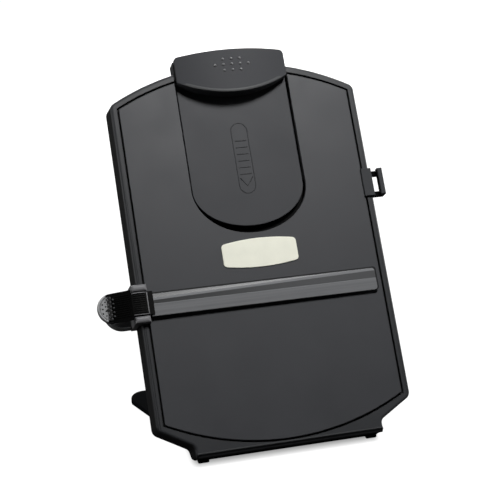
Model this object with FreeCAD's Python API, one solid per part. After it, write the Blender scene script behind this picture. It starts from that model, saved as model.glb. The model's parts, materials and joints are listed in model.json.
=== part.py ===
"""Desktop copy holder with a sliding line guide, a sliding paper clip and a pen clip.

A leaning board stands on a weighted base. Lengths are millimetres and angles are degrees.

Two frames are used while the pieces are made:
  board frame: X runs across the board, Y runs up its face, Z stands out of its face.
               Z = 0 is the face, and Y = 0 is the line between the face panel's lower corners.
  desk frame:  X runs across, Y runs back from the main hinge axis, Z = 0 is the desk top.
Every piece is then moved so that the origin lies under the middle of the whole object.
"""
import FreeCAD
import Part
import math
import os

V = FreeCAD.Vector
X_AXIS = V(1, 0, 0)
Y_AXIS = V(0, 1, 0)
Z_AXIS = V(0, 0, 1)

# ---------------------------------------------------------------- driving dimensions
# Board moulding
BOARD_HALF = 126.6          # half width at the front face
BOARD_DRAFT = 1.7           # how far the side walls spread on their way to the back
BOARD_DEPTH = 25.0
COVER_THICK = 2.0
BOARD_TOP = 354.4           # top of the arched upper edge, at the middle
BOARD_TOP_RADIUS = 251.5
SHOULDER_T = -4.0           # where the straight sides end
SHOULDER_SLOPE = 30.0       # angle of the lower shoulders
NECK_INSET = 33.4           # how much narrower the neck is, each side
EDGE_BELOW_PANEL = 6.3      # from the face panel's lowest point to the lower edge
NECK_UNDERCUT = 4.0         # height of the hanging lip that hides the base's front edge
DESK_GAP = 0.6              # left under the neck's sides when the board leans right back
CORNER_TOP_R = 8.0
CORNER_SHOULDER_R = 8.0
CORNER_NECK_R = 6.0
RIM_R = 3.0                 # rounding along the front edge
FRAME_WALL = 2.4
FRONT_SKIN = 5.0            # depth of the moulding behind its front face
CAVITY_BOTTOM = 4.0         # the moulding is cored from the back above this height
LIP_BELOW_PANEL = 1.2       # from the face panel's lowest point to the lip's top
LIP_LEDGE = 1.5             # height of the lip's upright edge, under its rounded top
LIP_PROUD = 1.9
LIP_BACK = 4.4              # how far the hanging lip reaches behind the face
VALLEY_INSET = 2.7          # from the board's edge to the shallow valley along each side
VALLEY_R = 1.3
VALLEY_DEEP = 0.6           # its depth at the lower end
VALLEY_TOP = 300.0          # where it runs out

# Face panel inside the groove
RIM_WIDTH = 7.3             # from the board's edge to the middle of the groove
RIM_TOP = 8.0
PANEL_TOP_SAG = 30.4
PANEL_CORNER_BOTTOM = 0.0
PANEL_BOTTOM_SAG = 28.9
GROOVE = 1.8
PANEL_THICK = 3.0
PANEL_EDGE_R = 0.5
LEDGE = 5.0                 # how far the moulding reaches under the panel's edge

# Recess and sliding panel
RECESS_HALF = 58.5
RECESS_DEPTH = 129.9        # from the top edge down to the middle of the rounded end
RECESS_DROP = 48.0
SLIDE_GAP = 1.5
SLIDE_DROP = 40.0
SLIDE_PROUD = 9.6           # how far the sliding panel stands above the board
SLIDE_TOP_SAG = 2.2
SLIDE_SINK = 4.0            # from the board's face to the sliding panel's face
SLIDE_THICK = 3.0
RUNNER_HALF_OUT = 61.5
RUNNER_HALF_IN = 55.0
RUNNER_THICK = 2.5
RUNNER_BELOW_KEEPER = 7.0
RUNNER_HELD = 32.0          # length of runner still behind the keepers when pulled out
KEEPER_BELOW_TOP = 22.4
KEEPER_SPARE = 4.0          # how far the keepers reach below the runners
TRAY_WALL = 2.0
TRAY_FLOOR = 1.8
TRAY_RIB = 1.4
TRAY_FLANGE = 6.0
TRAY_SCREW_INSET = 12.0
HEAD_BACK = 22.0            # depth of the grip block behind the sliding panel
SLIDE_TRAVEL = 70.0

# Paper clip at the top of the sliding panel
CLIP_HALF = 57.2
CLIP_PROUD = 1.5            # how far the clip stands above the sliding panel
CLIP_TOP_SAG = 2.4
CLIP_LENGTH = 46.1
CLIP_BOTTOM_SAG = 16.8
CLIP_FRONT = 13.0           # height of the crown above the board's face
CLIP_CROWN_R = 207.0
CLIP_THICK = 2.5
CLIP_CORNER_R = 4.5
CLIP_PIVOT_DROP = 27.5      # from the clip's top to its pin
CLIP_PIVOT_D = 2.0
CLIP_PIN_R = 1.5
CLIP_LUG_R = 3.5            # lugs under the clip
CLIP_EAR_R = 2.8            # ears on the sliding panel
CLIP_LUG_INNER = 38.0
CLIP_LUG_WIDTH = 4.0
CLIP_PAD_HALF = 35.0
CLIP_PAD_THICK = 1.5
CLIP_OPEN = 10.0
CLIP_STOP_GAP = 1.25        # left under the clip's upper edge when it is held open
CLIP_FOOT_THICK = 1.8
CLIP_FOOT_LENGTH = 6.0      # above the pin
CLIP_SPRING_R = 2.6         # to the middle of the wire
CLIP_SPRING_WIRE_R = 0.45
CLIP_SPRING_TURNS = 7
CLIP_SPRING_LEG = 6.0

# Badge plate
BADGE_HALF = 38.0
BADGE_BOTTOM = 141.0
BADGE_TOP = 170.4
BADGE_SAG = 3.5
BADGE_CORNER_R = 4.0
BADGE_THICK = 1.0

# Line guide
GUIDE_T = 117.5             # middle of the carriage
CARRIAGE_HALF = 19.0
EAR_WIDTH = 7.3
EAR_REACH = 9.1             # how far the ears lie over the board
EAR_FRONT = 7.4
EAR_R = 3.0
CARRIAGE_OUT = 6.4          # how far the carriage stands out past the board
JAW_INSET = 18.6
JAW_THICK = 4.5
JAW_PAD = 1.5
LEVER_PIVOT_INSET = 1.0
LEVER_PIVOT_D = 4.3
LEVER_PIN_R = 1.5
LEVER_BARREL_R = 3.4
LEVER_WING_HALF = 14.5
LEVER_REACH = 39.9          # how far the thumb end stands out past the board
LEVER_THICK = 3.0
LEVER_SKIN = [(-8.0, 2.6), (-18.0, -1.5), (-27.0, -5.0), (-34.0, -5.6)]  # from the pin, outwards
LEVER_SHOULDER = (4.0, 2.6)
LEVER_TIP_DROP = 4.2        # from the pin to the upper skin at the thumb end
LEVER_NOSE = 1.5            # how far the lever reaches over the bar's end
LEVER_HEEL = 6.0            # from the pin to where the lever's underside comes near the board
LEVER_LID = 1.6             # lever above the bar
LEVER_FLOOR = 0.8           # lever below the bar
THUMB_PAD_THICK = 1.2
THUMB_PAD_INSET = 2.6
DIMPLE_R = 1.1
DIMPLE_DEEP = 0.5
DIMPLE_ROWS = [(2.6, 3), (5.6, 4), (8.6, 5)]  # from the pad's tip, and how many across
DIMPLE_PITCH = 4.4
WEB_GAP = 3.8               # left between the raised lever and the carriage's wall
GUIDE_SPRING_R = 2.1
GUIDE_SPRING_WIRE_R = 0.35
GUIDE_SPRING_TURNS = 8
GUIDE_SPRING_LEG = 3.0
REST_REACH = 31.4
REST_INSET = 0.8
REST_THICK = 3.0
REST_FLANGE = 6.0
REST_WALL = 2.2
BAR_LEFT_INSET = 12.1
BAR_RIGHT_INSET = 13.0
BAR_DROP = 13.5             # from the carriage's middle to the bar's lower edge
BAR_WIDTH = 23.8
BAR_THICK = 2.4
BAR_LIFT_LEFT = 2.7         # gap between the bar and the board's face at the lever
BAR_LIFT_RIGHT = 1.6        # and at the free end
BAR_CORNER_R = 3.0
BAR_TENON = 1.5             # length of bar held in the lever
BAR_BAND = 12.0             # height of the thicker band along the bar's lower edge
BAR_STEP_DEEP = 0.3         # how much thinner the bar is above it
BAR_BEVEL_LEFT = 5.8        # width of the bevel along the upper edge at the lever
BAR_BEVEL_RIGHT = 1.5       # and at the free end
BAR_BEVEL_LEAN = 15.0
GUIDE_OPEN = 10.0

# Pen clip on the right edge
PEN_T = 215.2
PEN_HALF = 14.5
PEN_FRONT_THICK = 2.25
PEN_FRONT_INSET = 9.1
PEN_WALL = 1.4
PEN_BACK_INSET = 12.6
PEN_PLATE_OFFSET = 9.4      # from the board's edge to the outer plate
PEN_PLATE_WIDTH = 5.0
PEN_PLATE_DEPTH = 7.0
PEN_PLATE_INSET = 1.3
PEN_ARM_DEPTH = 6.0
PEN_ARM_WIDTH = 4.8

# Main hinge
BOARD_ELEVATION = 51.74     # the board's angle above the desk
HINGE_T = -27.0
HINGE_D = -9.0
HINGE_HEIGHT = 13.1
HINGE_ROD_R = 2.0
HINGE_EAR_R = 4.2
HINGE_EAR_INSET = 29.0      # from the neck's side to the ear
HINGE_EAR_WIDTH = 12.0
EAR_NOTCH = 8.0             # room above the hinge axis for the base's ears
CORE_INSET = 20.0           # from the ear to the cored pocket that shows the rod
TILT_BACK = -12.0
TILT_UP = 12.0

# Base
PLATE_TOP = 8.0
FOOT_HEIGHT = 3.5
BASE_FRONT = -4.4
BASE_INSET = 3.2            # how much narrower the base's front is than the neck
BASE_FLARE_START = 21.6
BASE_FLARE_END = 113.6
BASE_FLARE = 42.2
BASE_REAR = 131.0
BASE_REAR_R = 14.0
BASE_FRONT_R = 2.0
BASE_FRONT_CHAMFER = 1.4
BALLAST_INSET = 8.8
BALLAST_FRONT = 20.0
BALLAST_REAR = 98.0
BALLAST_THICK = 3.0
BALLAST_SCREW_INSET = 8.0
FRONT_FOOT_INSET = 5.8
FRONT_FOOT_WIDTH = 11.0
FRONT_FOOT_LENGTH = 15.0
REAR_FOOT_INSET = 24.0
REAR_FOOT_BACK = 10.5
REAR_FOOT_R = 8.0
FOOT_SEAT = 0.8

# Prop
PROP_SPAN = 106.0           # from the main hinge to the prop's hinge
PROP_SHORTER = 24.0         # how much shorter the prop is than that span
PROP_HALF = 42.0
PROP_THICK = 4.0
PROP_ROD_R = 2.0
PROP_BAR_R = 2.5
PROP_BARREL_R = 4.0
PROP_EAR_WIDTH = 8.0
PROP_PANEL_EDGE = 8.0
PROP_PANEL_DEPTH = 1.2
RACK_PROUD = 4.0
RACK_WIDTH = 8.0
RACK_GAP = 3.0              # between the prop and the rack, side by side
RACK_END = 8.8              # rack left beyond the bar's last place
RACK_PITCH = 8.0
RACK_TOOTH = 1.6

# Fasteners
SCREW_R = 1.4
SCREW_HEAD_R = 2.8
SCREW_HEAD = 1.4
SMALL_SCREW_R = 1.0
SMALL_HEAD_R = 2.2
SCREW_LENGTH = 8.0          # shank inside a cover boss
BOSS_R = 4.6
BOSS_BITE = 1.0             # how far a boss sinks into the wall beside it
COVER_SCREW_INSET = 14.0

# Springs
SPRING_PITCH = 2.3          # one turn, in wire radii

# Clearances
SLIP = 0.35                 # between pieces that slide or swing past each other
FIT = 0.3                   # between pieces that are fixed side by side
PIN_FIT = 0.05              # radial, between a pin and the piece that turns on it
PIN_HOLD = 0.02             # radial, between a pin and the piece that holds it

# ---------------------------------------------------------------- tied values
THROUGH = BOARD_DEPTH + LEVER_REACH     # long enough for a tool to pass right through
NECK_HALF = BOARD_HALF - NECK_INSET
PANEL_HALF = BOARD_HALF - RIM_WIDTH
PANEL_TOP = BOARD_TOP - RIM_TOP
PANEL_CORNER_TOP = PANEL_TOP - PANEL_TOP_SAG
PANEL_BOTTOM = PANEL_CORNER_BOTTOM - PANEL_BOTTOM_SAG
BOARD_BOTTOM = PANEL_BOTTOM - EDGE_BELOW_PANEL
RECESS_CENTRE = BOARD_TOP - RECESS_DEPTH
SLIDE_TOP = BOARD_TOP + SLIDE_PROUD
KEEPER_TOP = BOARD_TOP - KEEPER_BELOW_TOP
RUNNER_TOP = KEEPER_TOP - RUNNER_BELOW_KEEPER
CLIP_TOP = SLIDE_TOP + CLIP_PROUD
CLIP_BOTTOM = CLIP_TOP - CLIP_LENGTH
CLIP_PIVOT_T = CLIP_TOP - CLIP_PIVOT_DROP
EAR_RIGHT = EAR_REACH - BOARD_HALF
CARRIAGE_LEFT = -(BOARD_HALF + CARRIAGE_OUT)
JAW_REACH = JAW_INSET - BOARD_HALF
LEVER_PIVOT_S = LEVER_PIVOT_INSET - BOARD_HALF
LEVER_LEFT = -(BOARD_HALF + LEVER_REACH)
REST_LEFT = -(BOARD_HALF + REST_REACH)
BAR_LEFT = BAR_LEFT_INSET - BOARD_HALF
BAR_RIGHT = BOARD_HALF - BAR_RIGHT_INSET
BAR_BOTTOM = GUIDE_T - BAR_DROP
PEN_FRONT_REACH = BOARD_HALF - PEN_FRONT_INSET
PEN_BACK_REACH = BOARD_HALF - PEN_BACK_INSET
PEN_PLATE_IN = BOARD_HALF + PEN_PLATE_OFFSET
PEN_PLATE_OUT = PEN_PLATE_IN + PEN_PLATE_WIDTH
HINGE_EAR_INNER = NECK_HALF - HINGE_EAR_INSET
CORE_HALF = HINGE_EAR_INNER - CORE_INSET
PROP_LENGTH = PROP_SPAN - PROP_SHORTER
BASE_FRONT_HALF = NECK_HALF - BASE_INSET
BASE_REAR_HALF = BASE_FRONT_HALF + BASE_FLARE
BALLAST_HALF = BASE_FRONT_HALF - BALLAST_INSET
FRONT_FOOT_X = BASE_FRONT_HALF - FRONT_FOOT_INSET
REAR_FOOT_X = BASE_REAR_HALF - REAR_FOOT_INSET
REAR_FOOT_Y = BASE_REAR - REAR_FOOT_BACK
SLIDE_HALF = RECESS_HALF - SLIDE_GAP
SLIDE_FACE = -SLIDE_SINK
SLIDE_BACK = SLIDE_FACE - SLIDE_THICK
RUNNER_BACK = SLIDE_BACK - RUNNER_THICK
RUNNER_BOTTOM = KEEPER_TOP - RUNNER_HELD - SLIDE_TRAVEL
TRAY_FRONT = RUNNER_BACK - SLIP - TRAY_RIB
TRAY_BACK = TRAY_FRONT - TRAY_FLOOR
TRAY_HALF_IN = RUNNER_HALF_OUT + 2 * SLIP
TRAY_HALF_OUT = TRAY_HALF_IN + TRAY_WALL
BACK_FACE = -BOARD_DEPTH
COVER_FRONT = BACK_FACE + COVER_THICK
JAW_FRONT = BACK_FACE - SLIP
SIDE_SLOPE = BOARD_DRAFT / BOARD_DEPTH
JAW_LOW = SLIDE_FACE + FIT  # where the closed clip's edge stays
LEVER_HALF = CARRIAGE_HALF - EAR_WIDTH - SLIP
PROP_BAR_D = BACK_FACE - RACK_PROUD - SLIP - PROP_BAR_R
NODES = {}


# ---------------------------------------------------------------- helpers
def box(x, y, z):
    """A box from three (low, high) pairs."""
    size = [max(pair) - min(pair) for pair in (x, y, z)]
    return Part.makeBox(*size, V(min(x), min(y), min(z)))


def rod_x(radius, x0, x1, y, z):
    return Part.makeCylinder(radius, x1 - x0, V(x0, y, z), X_AXIS)


def rod_y(radius, y0, y1, x, z):
    return Part.makeCylinder(radius, y1 - y0, V(x, y0, z), Y_AXIS)


def rod_z(radius, z0, z1, x, y):
    return Part.makeCylinder(radius, z1 - z0, V(x, y, z0), Z_AXIS)


def line(a, b):
    return Part.makeLine(a, b)


def arc(a, b, c):
    return Part.Arc(a, b, c).toShape()


def prism(wire, z0, z1):
    """A wire drawn at Z = 0, as a solid between two heights."""
    face = Part.Face(wire)
    face.translate(V(0, 0, min(z0, z1)))
    return face.extrude(V(0, 0, abs(z1 - z0)))


def profile_x(points, x0, x1):
    """A closed polygon of (y, z) points, as a solid between two X values."""
    corners = [V(x0, y, z) for y, z in points]
    face = Part.Face(Part.makePolygon(corners + corners[:1]))
    return face.extrude(V(x1 - x0, 0, 0))


def profile_y(points, y0, y1):
    """A closed polygon of (x, z) points, as a solid between two Y values."""
    corners = [V(x, y0, z) for x, z in points]
    face = Part.Face(Part.makePolygon(corners + corners[:1]))
    return face.extrude(V(0, y1 - y0, 0))


def join(shapes):
    """One solid, with seams between flush faces removed."""
    whole = shapes[0].fuse(shapes[1:]) if len(shapes) > 1 else shapes[0]
    return whole.removeSplitter()


def cut(shape, tools):
    return shape.cut(tools) if tools else shape


def group(shapes):
    """Separate solids that share one node."""
    return Part.makeCompound(shapes)


def mirror_x(shape):
    return shape.mirror(V(0, 0, 0), X_AXIS)


def both_sides(shape):
    return [shape, mirror_x(shape)]


def edges_where(shape, test):
    """Edges whose two ends and middle all pass the test."""
    found = []
    for edge in shape.Edges:
        middle = edge.valueAt((edge.FirstParameter + edge.LastParameter) / 2)
        points = [vertex.Point for vertex in edge.Vertexes] + [middle]
        if all(test(point) for point in points):
            found.append(edge)
    return found


def upright_edges(shape, test):
    """Edges that climb along Z, picked by where their middles lie."""
    found = []
    for edge in shape.Edges:
        if len(edge.Vertexes) < 2:
            continue
        a, b = (vertex.Point for vertex in edge.Vertexes)
        rise = abs(a.z - b.z)
        if rise > 0.9 * a.distanceToPoint(b) and rise > 0.5 and test((a + b) * 0.5):
            found.append(edge)
    return found


def on_level(z):
    return lambda point: abs(point.z - z) < 1e-4


def sag_at(radius, half):
    """How far an arc has fallen at a distance from its top."""
    return radius - math.sqrt(radius * radius - half * half)


def arc_radius(half, sag):
    return (half * half + sag * sag) / (2 * sag)


def keep(node, shape):
    NODES[node] = shape


# ---------------------------------------------------------------- outlines in the board frame
def board_outline(spread, z):
    """The board's outer edge, pushed out by spread, as one closed wire."""
    half = BOARD_HALF + spread
    neck = NECK_HALF + spread
    slope = math.radians(SHOULDER_SLOPE)
    top = BOARD_TOP + spread
    corner_t = top - sag_at(BOARD_TOP_RADIUS + spread, half)
    shoulder_t = SHOULDER_T - spread * (1 - math.sin(slope)) / math.cos(slope)
    neck_t = shoulder_t - (half - neck) * math.tan(slope)
    right = [(half, corner_t), (half, shoulder_t), (neck, neck_t), (neck, BOARD_BOTTOM)]
    left = [(-x, y) for x, y in reversed(right)]
    path = [V(x, y, z) for x, y in right + left]
    edges = [arc(path[-1], V(0, top, z), path[0])]
    edges += [line(a, b) for a, b in zip(path, path[1:])]
    return Part.Wire(edges)


def panel_outline(inset, bottom=None):
    """The face panel's edge, moved in from the middle of the groove.

    With a bottom given, the outline ends there in a straight line."""
    half = PANEL_HALF - inset
    top_r = arc_radius(PANEL_HALF, PANEL_TOP - PANEL_CORNER_TOP)
    low_r = arc_radius(PANEL_HALF, PANEL_CORNER_BOTTOM - PANEL_BOTTOM)
    top = PANEL_TOP - inset
    top_t = top - sag_at(top_r - inset, half)
    low = PANEL_BOTTOM + inset
    low_t = low + sag_at(low_r - inset, half) if bottom is None else bottom
    a, b = V(half, top_t, 0), V(half, low_t, 0)
    c, d = V(-half, low_t, 0), V(-half, top_t, 0)
    floor = arc(b, V(0, low, 0), c) if bottom is None else line(b, c)
    return Part.Wire([arc(d, V(0, top, 0), a), line(a, b), floor, line(c, d)])


def half_ellipse(half, drop, centre_t):
    """The lower half of an ellipse, from its right end to its left end."""
    circle = Part.makeCircle(1.0, V(0, 0, 0), Z_AXIS, 180, 360)
    squash = FreeCAD.Matrix()
    squash.scale(half, drop, 1)
    edge = circle.transformGeometry(squash)
    edge.translate(V(0, centre_t, 0))
    return edge


def recess_outline(half, drop, top):
    """Straight sides above a rounded lower end."""
    a, b = V(-half, RECESS_CENTRE, 0), V(half, RECESS_CENTRE, 0)
    c, d = V(half, top, 0), V(-half, top, 0)
    return Part.Wire([half_ellipse(half, drop, RECESS_CENTRE), line(b, c), line(c, d), line(d, a)])


def lens_outline(half, top, top_sag, bottom, bottom_sag):
    """Straight ends between an arched top and a bowed bottom."""
    a, b = V(half, top - top_sag, 0), V(half, bottom + bottom_sag, 0)
    c, d = V(-half, bottom + bottom_sag, 0), V(-half, top - top_sag, 0)
    edges = [arc(d, V(0, top, 0), a), line(a, b), arc(b, V(0, bottom, 0), c), line(c, d)]
    return Part.Wire(edges)


# ---------------------------------------------------------------- board pieces
def board_block():
    """The board's outer form: drafted sides, rounded corners and a rounded front edge."""
    wires = [board_outline(BOARD_DRAFT, BACK_FACE), board_outline(0, 0)]
    block = Part.makeLoft(wires, True, True)
    mid_shoulder = (SHOULDER_T + BOARD_BOTTOM) / 2
    rounds = [
        (CORNER_TOP_R, lambda p: p.y > BOARD_TOP / 2),
        (CORNER_SHOULDER_R, lambda p: mid_shoulder < p.y < BOARD_TOP / 2 and abs(p.x) > BOARD_HALF - 1),
        (CORNER_NECK_R, lambda p: BOARD_BOTTOM + 1 < p.y < 0 and abs(p.x) < BOARD_HALF - 1),
        (RIM_R + 0.5, lambda p: p.y < BOARD_BOTTOM + 1),
    ]
    for radius, test in rounds:
        block = block.makeFillet(radius, upright_edges(block, test))
    return block.makeFillet(RIM_R, edges_where(block, on_level(0)))


def neck_relief():
    """The wedge taken off the back of the neck, between its sides, so that it clears the base."""
    lean = math.radians(BOARD_ELEVATION + TILT_BACK)
    drop = HINGE_EAR_R + 0.2

    def relief_d(t):
        return HINGE_D - (drop + (t - HINGE_T) * math.sin(lean)) / math.cos(lean)

    knee_t = HINGE_T - 2.5
    back_t = HINGE_T + ((HINGE_D - BACK_FACE) * math.cos(lean) - drop) / math.sin(lean)
    hang_t = BOARD_BOTTOM + NECK_UNDERCUT
    below = BOARD_BOTTOM - 2
    behind = BACK_FACE - 5
    points = [(below, -LIP_BACK), (hang_t, -LIP_BACK), (hang_t, HINGE_D - 1.0)]
    points += [(knee_t, relief_d(knee_t) + 0.2), (back_t, BACK_FACE), (back_t, behind), (below, behind)]
    reach = BASE_FRONT_HALF + 2 * SLIP
    return profile_x(points, -reach, reach)


def desk_relief():
    """The slice taken off the lower back corner, so that it clears the desk when leaning back."""
    lean = math.radians(BOARD_ELEVATION + TILT_BACK)
    drop = HINGE_HEIGHT - DESK_GAP
    below = BOARD_BOTTOM - 2
    behind = BACK_FACE - 5

    def relief_d(t):
        return HINGE_D - (drop + (t - HINGE_T) * math.sin(lean)) / math.cos(lean)

    def relief_t(d):
        return HINGE_T + ((HINGE_D - d) * math.cos(lean) - drop) / math.sin(lean)

    points = [(below, relief_d(below)), (relief_t(behind), behind), (below, behind)]
    return profile_x(points, -BOARD_HALF, BOARD_HALF)


def side_valley():
    """A shallow valley along the rim, which deepens and widens on its way down."""
    x = BOARD_HALF - VALLEY_INSET
    low = SHOULDER_T - CORNER_SHOULDER_R
    run = VALLEY_TOP - low
    groove = rod_y(VALLEY_R, low, VALLEY_TOP + CORNER_SHOULDER_R, x, VALLEY_R)
    groove.rotate(V(x, VALLEY_TOP, VALLEY_R), X_AXIS, math.degrees(math.atan2(VALLEY_DEEP, run)))
    return groove


def cover_boss_places():
    """Where the back cover's screws stand, as (x, y) on the right side."""
    x = BOARD_HALF - FRAME_WALL - BOSS_R + BOSS_BITE
    low = CAVITY_BOTTOM + COVER_SCREW_INSET
    high = PANEL_CORNER_TOP - COVER_SCREW_INSET
    return [(x, low), (x, (low + high) / 2), (x, high)]


def cavity_wire(clear=0.0):
    """The edge of the hollow behind the face, which the back cover fills."""
    half = BOARD_HALF - FRAME_WALL - clear
    top = BOARD_TOP - FRAME_WALL - clear
    corner_t = top - sag_at(BOARD_TOP_RADIUS - FRAME_WALL - clear, half)
    low = CAVITY_BOTTOM + clear
    a, b = V(half, corner_t, 0), V(half, low, 0)
    c, d = V(-half, low, 0), V(-half, corner_t, 0)
    return Part.Wire([arc(d, V(0, top, 0), a), line(a, b), line(b, c), line(c, d)])


def board_frame():
    block = board_block()
    far = BOARD_TOP + THROUGH
    hollow = prism(cavity_wire(), BACK_FACE - 1, -FRONT_SKIN)
    seat = prism(panel_outline(-GROOVE / 2), -PANEL_THICK, 1)
    window = prism(panel_outline(LEDGE, CAVITY_BOTTOM), -FRONT_SKIN - 1, 0)
    slide_way = box((-RECESS_HALF, RECESS_HALF), (RECESS_CENTRE, far), (TRAY_BACK - FIT, 1))
    tray_half = TRAY_HALF_OUT + FIT
    tray_way = box((-tray_half, tray_half), (RECESS_CENTRE, far), (TRAY_BACK - FIT, -PANEL_THICK))
    core = box((-CORE_HALF, CORE_HALF), (HINGE_T, CAVITY_BOTTOM - 3), (BACK_FACE - 5, -FRONT_SKIN))
    ear_low = HINGE_EAR_INNER - 2 * SLIP
    ear_high = HINGE_EAR_INNER + HINGE_EAR_WIDTH + 2 * SLIP
    notch_front = HINGE_D + HINGE_EAR_R + SLIP
    notch = box((ear_low, ear_high), (BOARD_BOTTOM - 5, HINGE_T + EAR_NOTCH), (BACK_FACE - 5, notch_front))
    bore = rod_x(HINGE_ROD_R + PIN_FIT, -ear_high, ear_high, HINGE_T, HINGE_D)
    tools = [hollow, seat, window, slide_way, tray_way, neck_relief(), desk_relief(), core, bore]
    tools += both_sides(notch) + both_sides(side_valley())
    frame = cut(block, tools)
    bosses = []
    for x, y in cover_boss_places():
        post = rod_z(BOSS_R, COVER_FRONT, -FRONT_SKIN + 0.5, x, y)
        post = cut(post, [rod_z(SCREW_R + PIN_HOLD, COVER_FRONT - 1, COVER_FRONT + SCREW_LENGTH + 1, x, y)])
        bosses += both_sides(post)
    return join([frame, cut(bottom_lip(), [seat])] + bosses)


def bottom_lip():
    """The ledge along the bottom edge, whose front slopes back below its upper corner."""
    half = NECK_HALF - 0.5
    top = PANEL_BOTTOM - LIP_BELOW_PANEL
    round_t = top - 0.6
    points = [(top, -RIM_R), (top, LIP_PROUD - 0.6), (round_t, LIP_PROUD), (top - LIP_LEDGE, LIP_PROUD)]
    points += [(BOARD_BOTTOM, -LIP_BACK + 1.5), (BOARD_BOTTOM, -LIP_BACK), (top - LIP_LEDGE, -LIP_BACK)]
    lip = profile_x(points, -half, half)
    ends = edges_where(lip, lambda p: abs(abs(p.x) - half) < 1e-4 and p.z > LIP_PROUD - 0.7)
    return lip.makeFillet(1.2, ends)


def front_panel():
    plate = prism(panel_outline(GROOVE / 2), -PANEL_THICK, 0)
    opening = prism(recess_outline(RECESS_HALF, RECESS_DROP, BOARD_TOP), -PANEL_THICK - 1, 1)
    plate = cut(plate, [opening])
    plate = plate.makeFillet(PANEL_EDGE_R, edges_where(plate, on_level(0)))
    holes = []
    for x, y in tray_screw_places():
        hole = rod_z(SMALL_SCREW_R + PIN_HOLD, -PANEL_THICK - 1, -PANEL_THICK + 1.8, x, y)
        holes += both_sides(hole)
    return cut(plate, holes)


def back_cover():
    plate = prism(cavity_wire(FIT), BACK_FACE, COVER_FRONT)
    holes = []
    for x, y in cover_boss_places():
        hole = rod_z(SCREW_R + PIN_HOLD, BACK_FACE - 1, COVER_FRONT + 1, x, y)
        sink = rod_z(SCREW_HEAD_R + PIN_HOLD, BACK_FACE - 1, BACK_FACE + SCREW_HEAD, x, y)
        holes += both_sides(hole) + both_sides(sink)
    return cut(plate, holes)


def cover_screws():
    screws = []
    for x, y in cover_boss_places():
        head = rod_z(SCREW_HEAD_R, BACK_FACE + 0.2, BACK_FACE + SCREW_HEAD, x, y)
        shank = rod_z(SCREW_R, BACK_FACE + SCREW_HEAD, COVER_FRONT + SCREW_LENGTH, x, y)
        screws += both_sides(join([head, shank]))
    return group(screws)


def tray_screw_places():
    x = TRAY_HALF_OUT + TRAY_FLANGE / 2
    low = RUNNER_BOTTOM + TRAY_SCREW_INSET
    high = RUNNER_TOP - TRAY_SCREW_INSET
    return [(x, low), (x, (low + high) / 2), (x, high)]


def slide_tray():
    """The trough behind the recess that carries the sliding panel."""
    wall_drop = RECESS_DROP + TRAY_HALF_OUT - RECESS_HALF
    outer = recess_outline(TRAY_HALF_OUT, wall_drop, BOARD_TOP + 5)
    inner = recess_outline(TRAY_HALF_IN, wall_drop - TRAY_WALL, BOARD_TOP + THROUGH)
    shell = prism(outer, TRAY_BACK, -PANEL_THICK)
    shell = cut(shell, [prism(inner, TRAY_FRONT, 1)])
    rib_d = (TRAY_FRONT, TRAY_FRONT + TRAY_RIB)
    rib = box((RUNNER_HALF_IN, RUNNER_HALF_OUT), (RECESS_CENTRE, KEEPER_TOP), rib_d)
    flange_x = (TRAY_HALF_OUT, TRAY_HALF_OUT + TRAY_FLANGE)
    flange = box(flange_x, (RUNNER_BOTTOM, RUNNER_TOP), (-FRONT_SKIN, -PANEL_THICK))
    holes = []
    for x, y in tray_screw_places():
        hole = rod_z(SMALL_SCREW_R + PIN_HOLD, -FRONT_SKIN - 1, 0, x, y)
        holes += both_sides(hole)
    tray = join([shell] + both_sides(rib) + both_sides(flange))
    below_arch = prism(top_arch_outline(-FRAME_WALL / 2), TRAY_BACK - 1, 1)
    rim_x = (TRAY_HALF_IN - 1, BOARD_HALF)
    rim_t = (RUNNER_TOP + TRAY_FLANGE, BOARD_TOP)
    rim_clear = box(rim_x, rim_t, (-FRONT_SKIN - FIT, 0))
    return cut(tray.common(below_arch), holes + both_sides(rim_clear))


def top_arch_outline(spread):
    """Everything below the board's arched top edge, moved by spread."""
    half = BOARD_HALF
    top = BOARD_TOP + spread
    corner_t = top - sag_at(BOARD_TOP_RADIUS + spread, half)
    a, b = V(half, corner_t, 0), V(half, BOARD_BOTTOM, 0)
    c, d = V(-half, BOARD_BOTTOM, 0), V(-half, corner_t, 0)
    return Part.Wire([arc(d, V(0, top, 0), a), line(a, b), line(b, c), line(c, d)])


def tray_screws():
    screws = []
    for x, y in tray_screw_places():
        head = rod_z(SMALL_HEAD_R, -FRONT_SKIN - SCREW_HEAD, -FRONT_SKIN, x, y)
        shank = rod_z(SMALL_SCREW_R, -FRONT_SKIN, -PANEL_THICK + 1.6, x, y)
        screws += both_sides(join([head, shank]))
    return group(screws)


def slide_keepers():
    """Two strips behind the recess edges that hold the sliding panel's runners down."""
    span_t = (RUNNER_BOTTOM - KEEPER_SPARE, KEEPER_TOP)
    strip = box((RECESS_HALF, RUNNER_HALF_OUT), span_t, (SLIDE_BACK + SLIP, -PANEL_THICK))
    return group(both_sides(strip))


def badge():
    outline = lens_outline(BADGE_HALF, BADGE_TOP, BADGE_SAG, BADGE_BOTTOM, BADGE_SAG)
    plate = prism(outline, 0, BADGE_THICK)
    plate = plate.makeFillet(BADGE_CORNER_R, upright_edges(plate, lambda p: True))
    return plate.makeFillet(BADGE_THICK * 0.45, edges_where(plate, on_level(BADGE_THICK)))


def prop_reach(tilt):
    """How far up the board the prop's bar lies at a tilt."""
    lean = math.radians(BOARD_ELEVATION + tilt)
    rise = PROP_SPAN * math.sin(lean) - (HINGE_D - PROP_BAR_D)
    return HINGE_T + PROP_SPAN * math.cos(lean) + math.sqrt(PROP_LENGTH ** 2 - rise ** 2)


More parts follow.
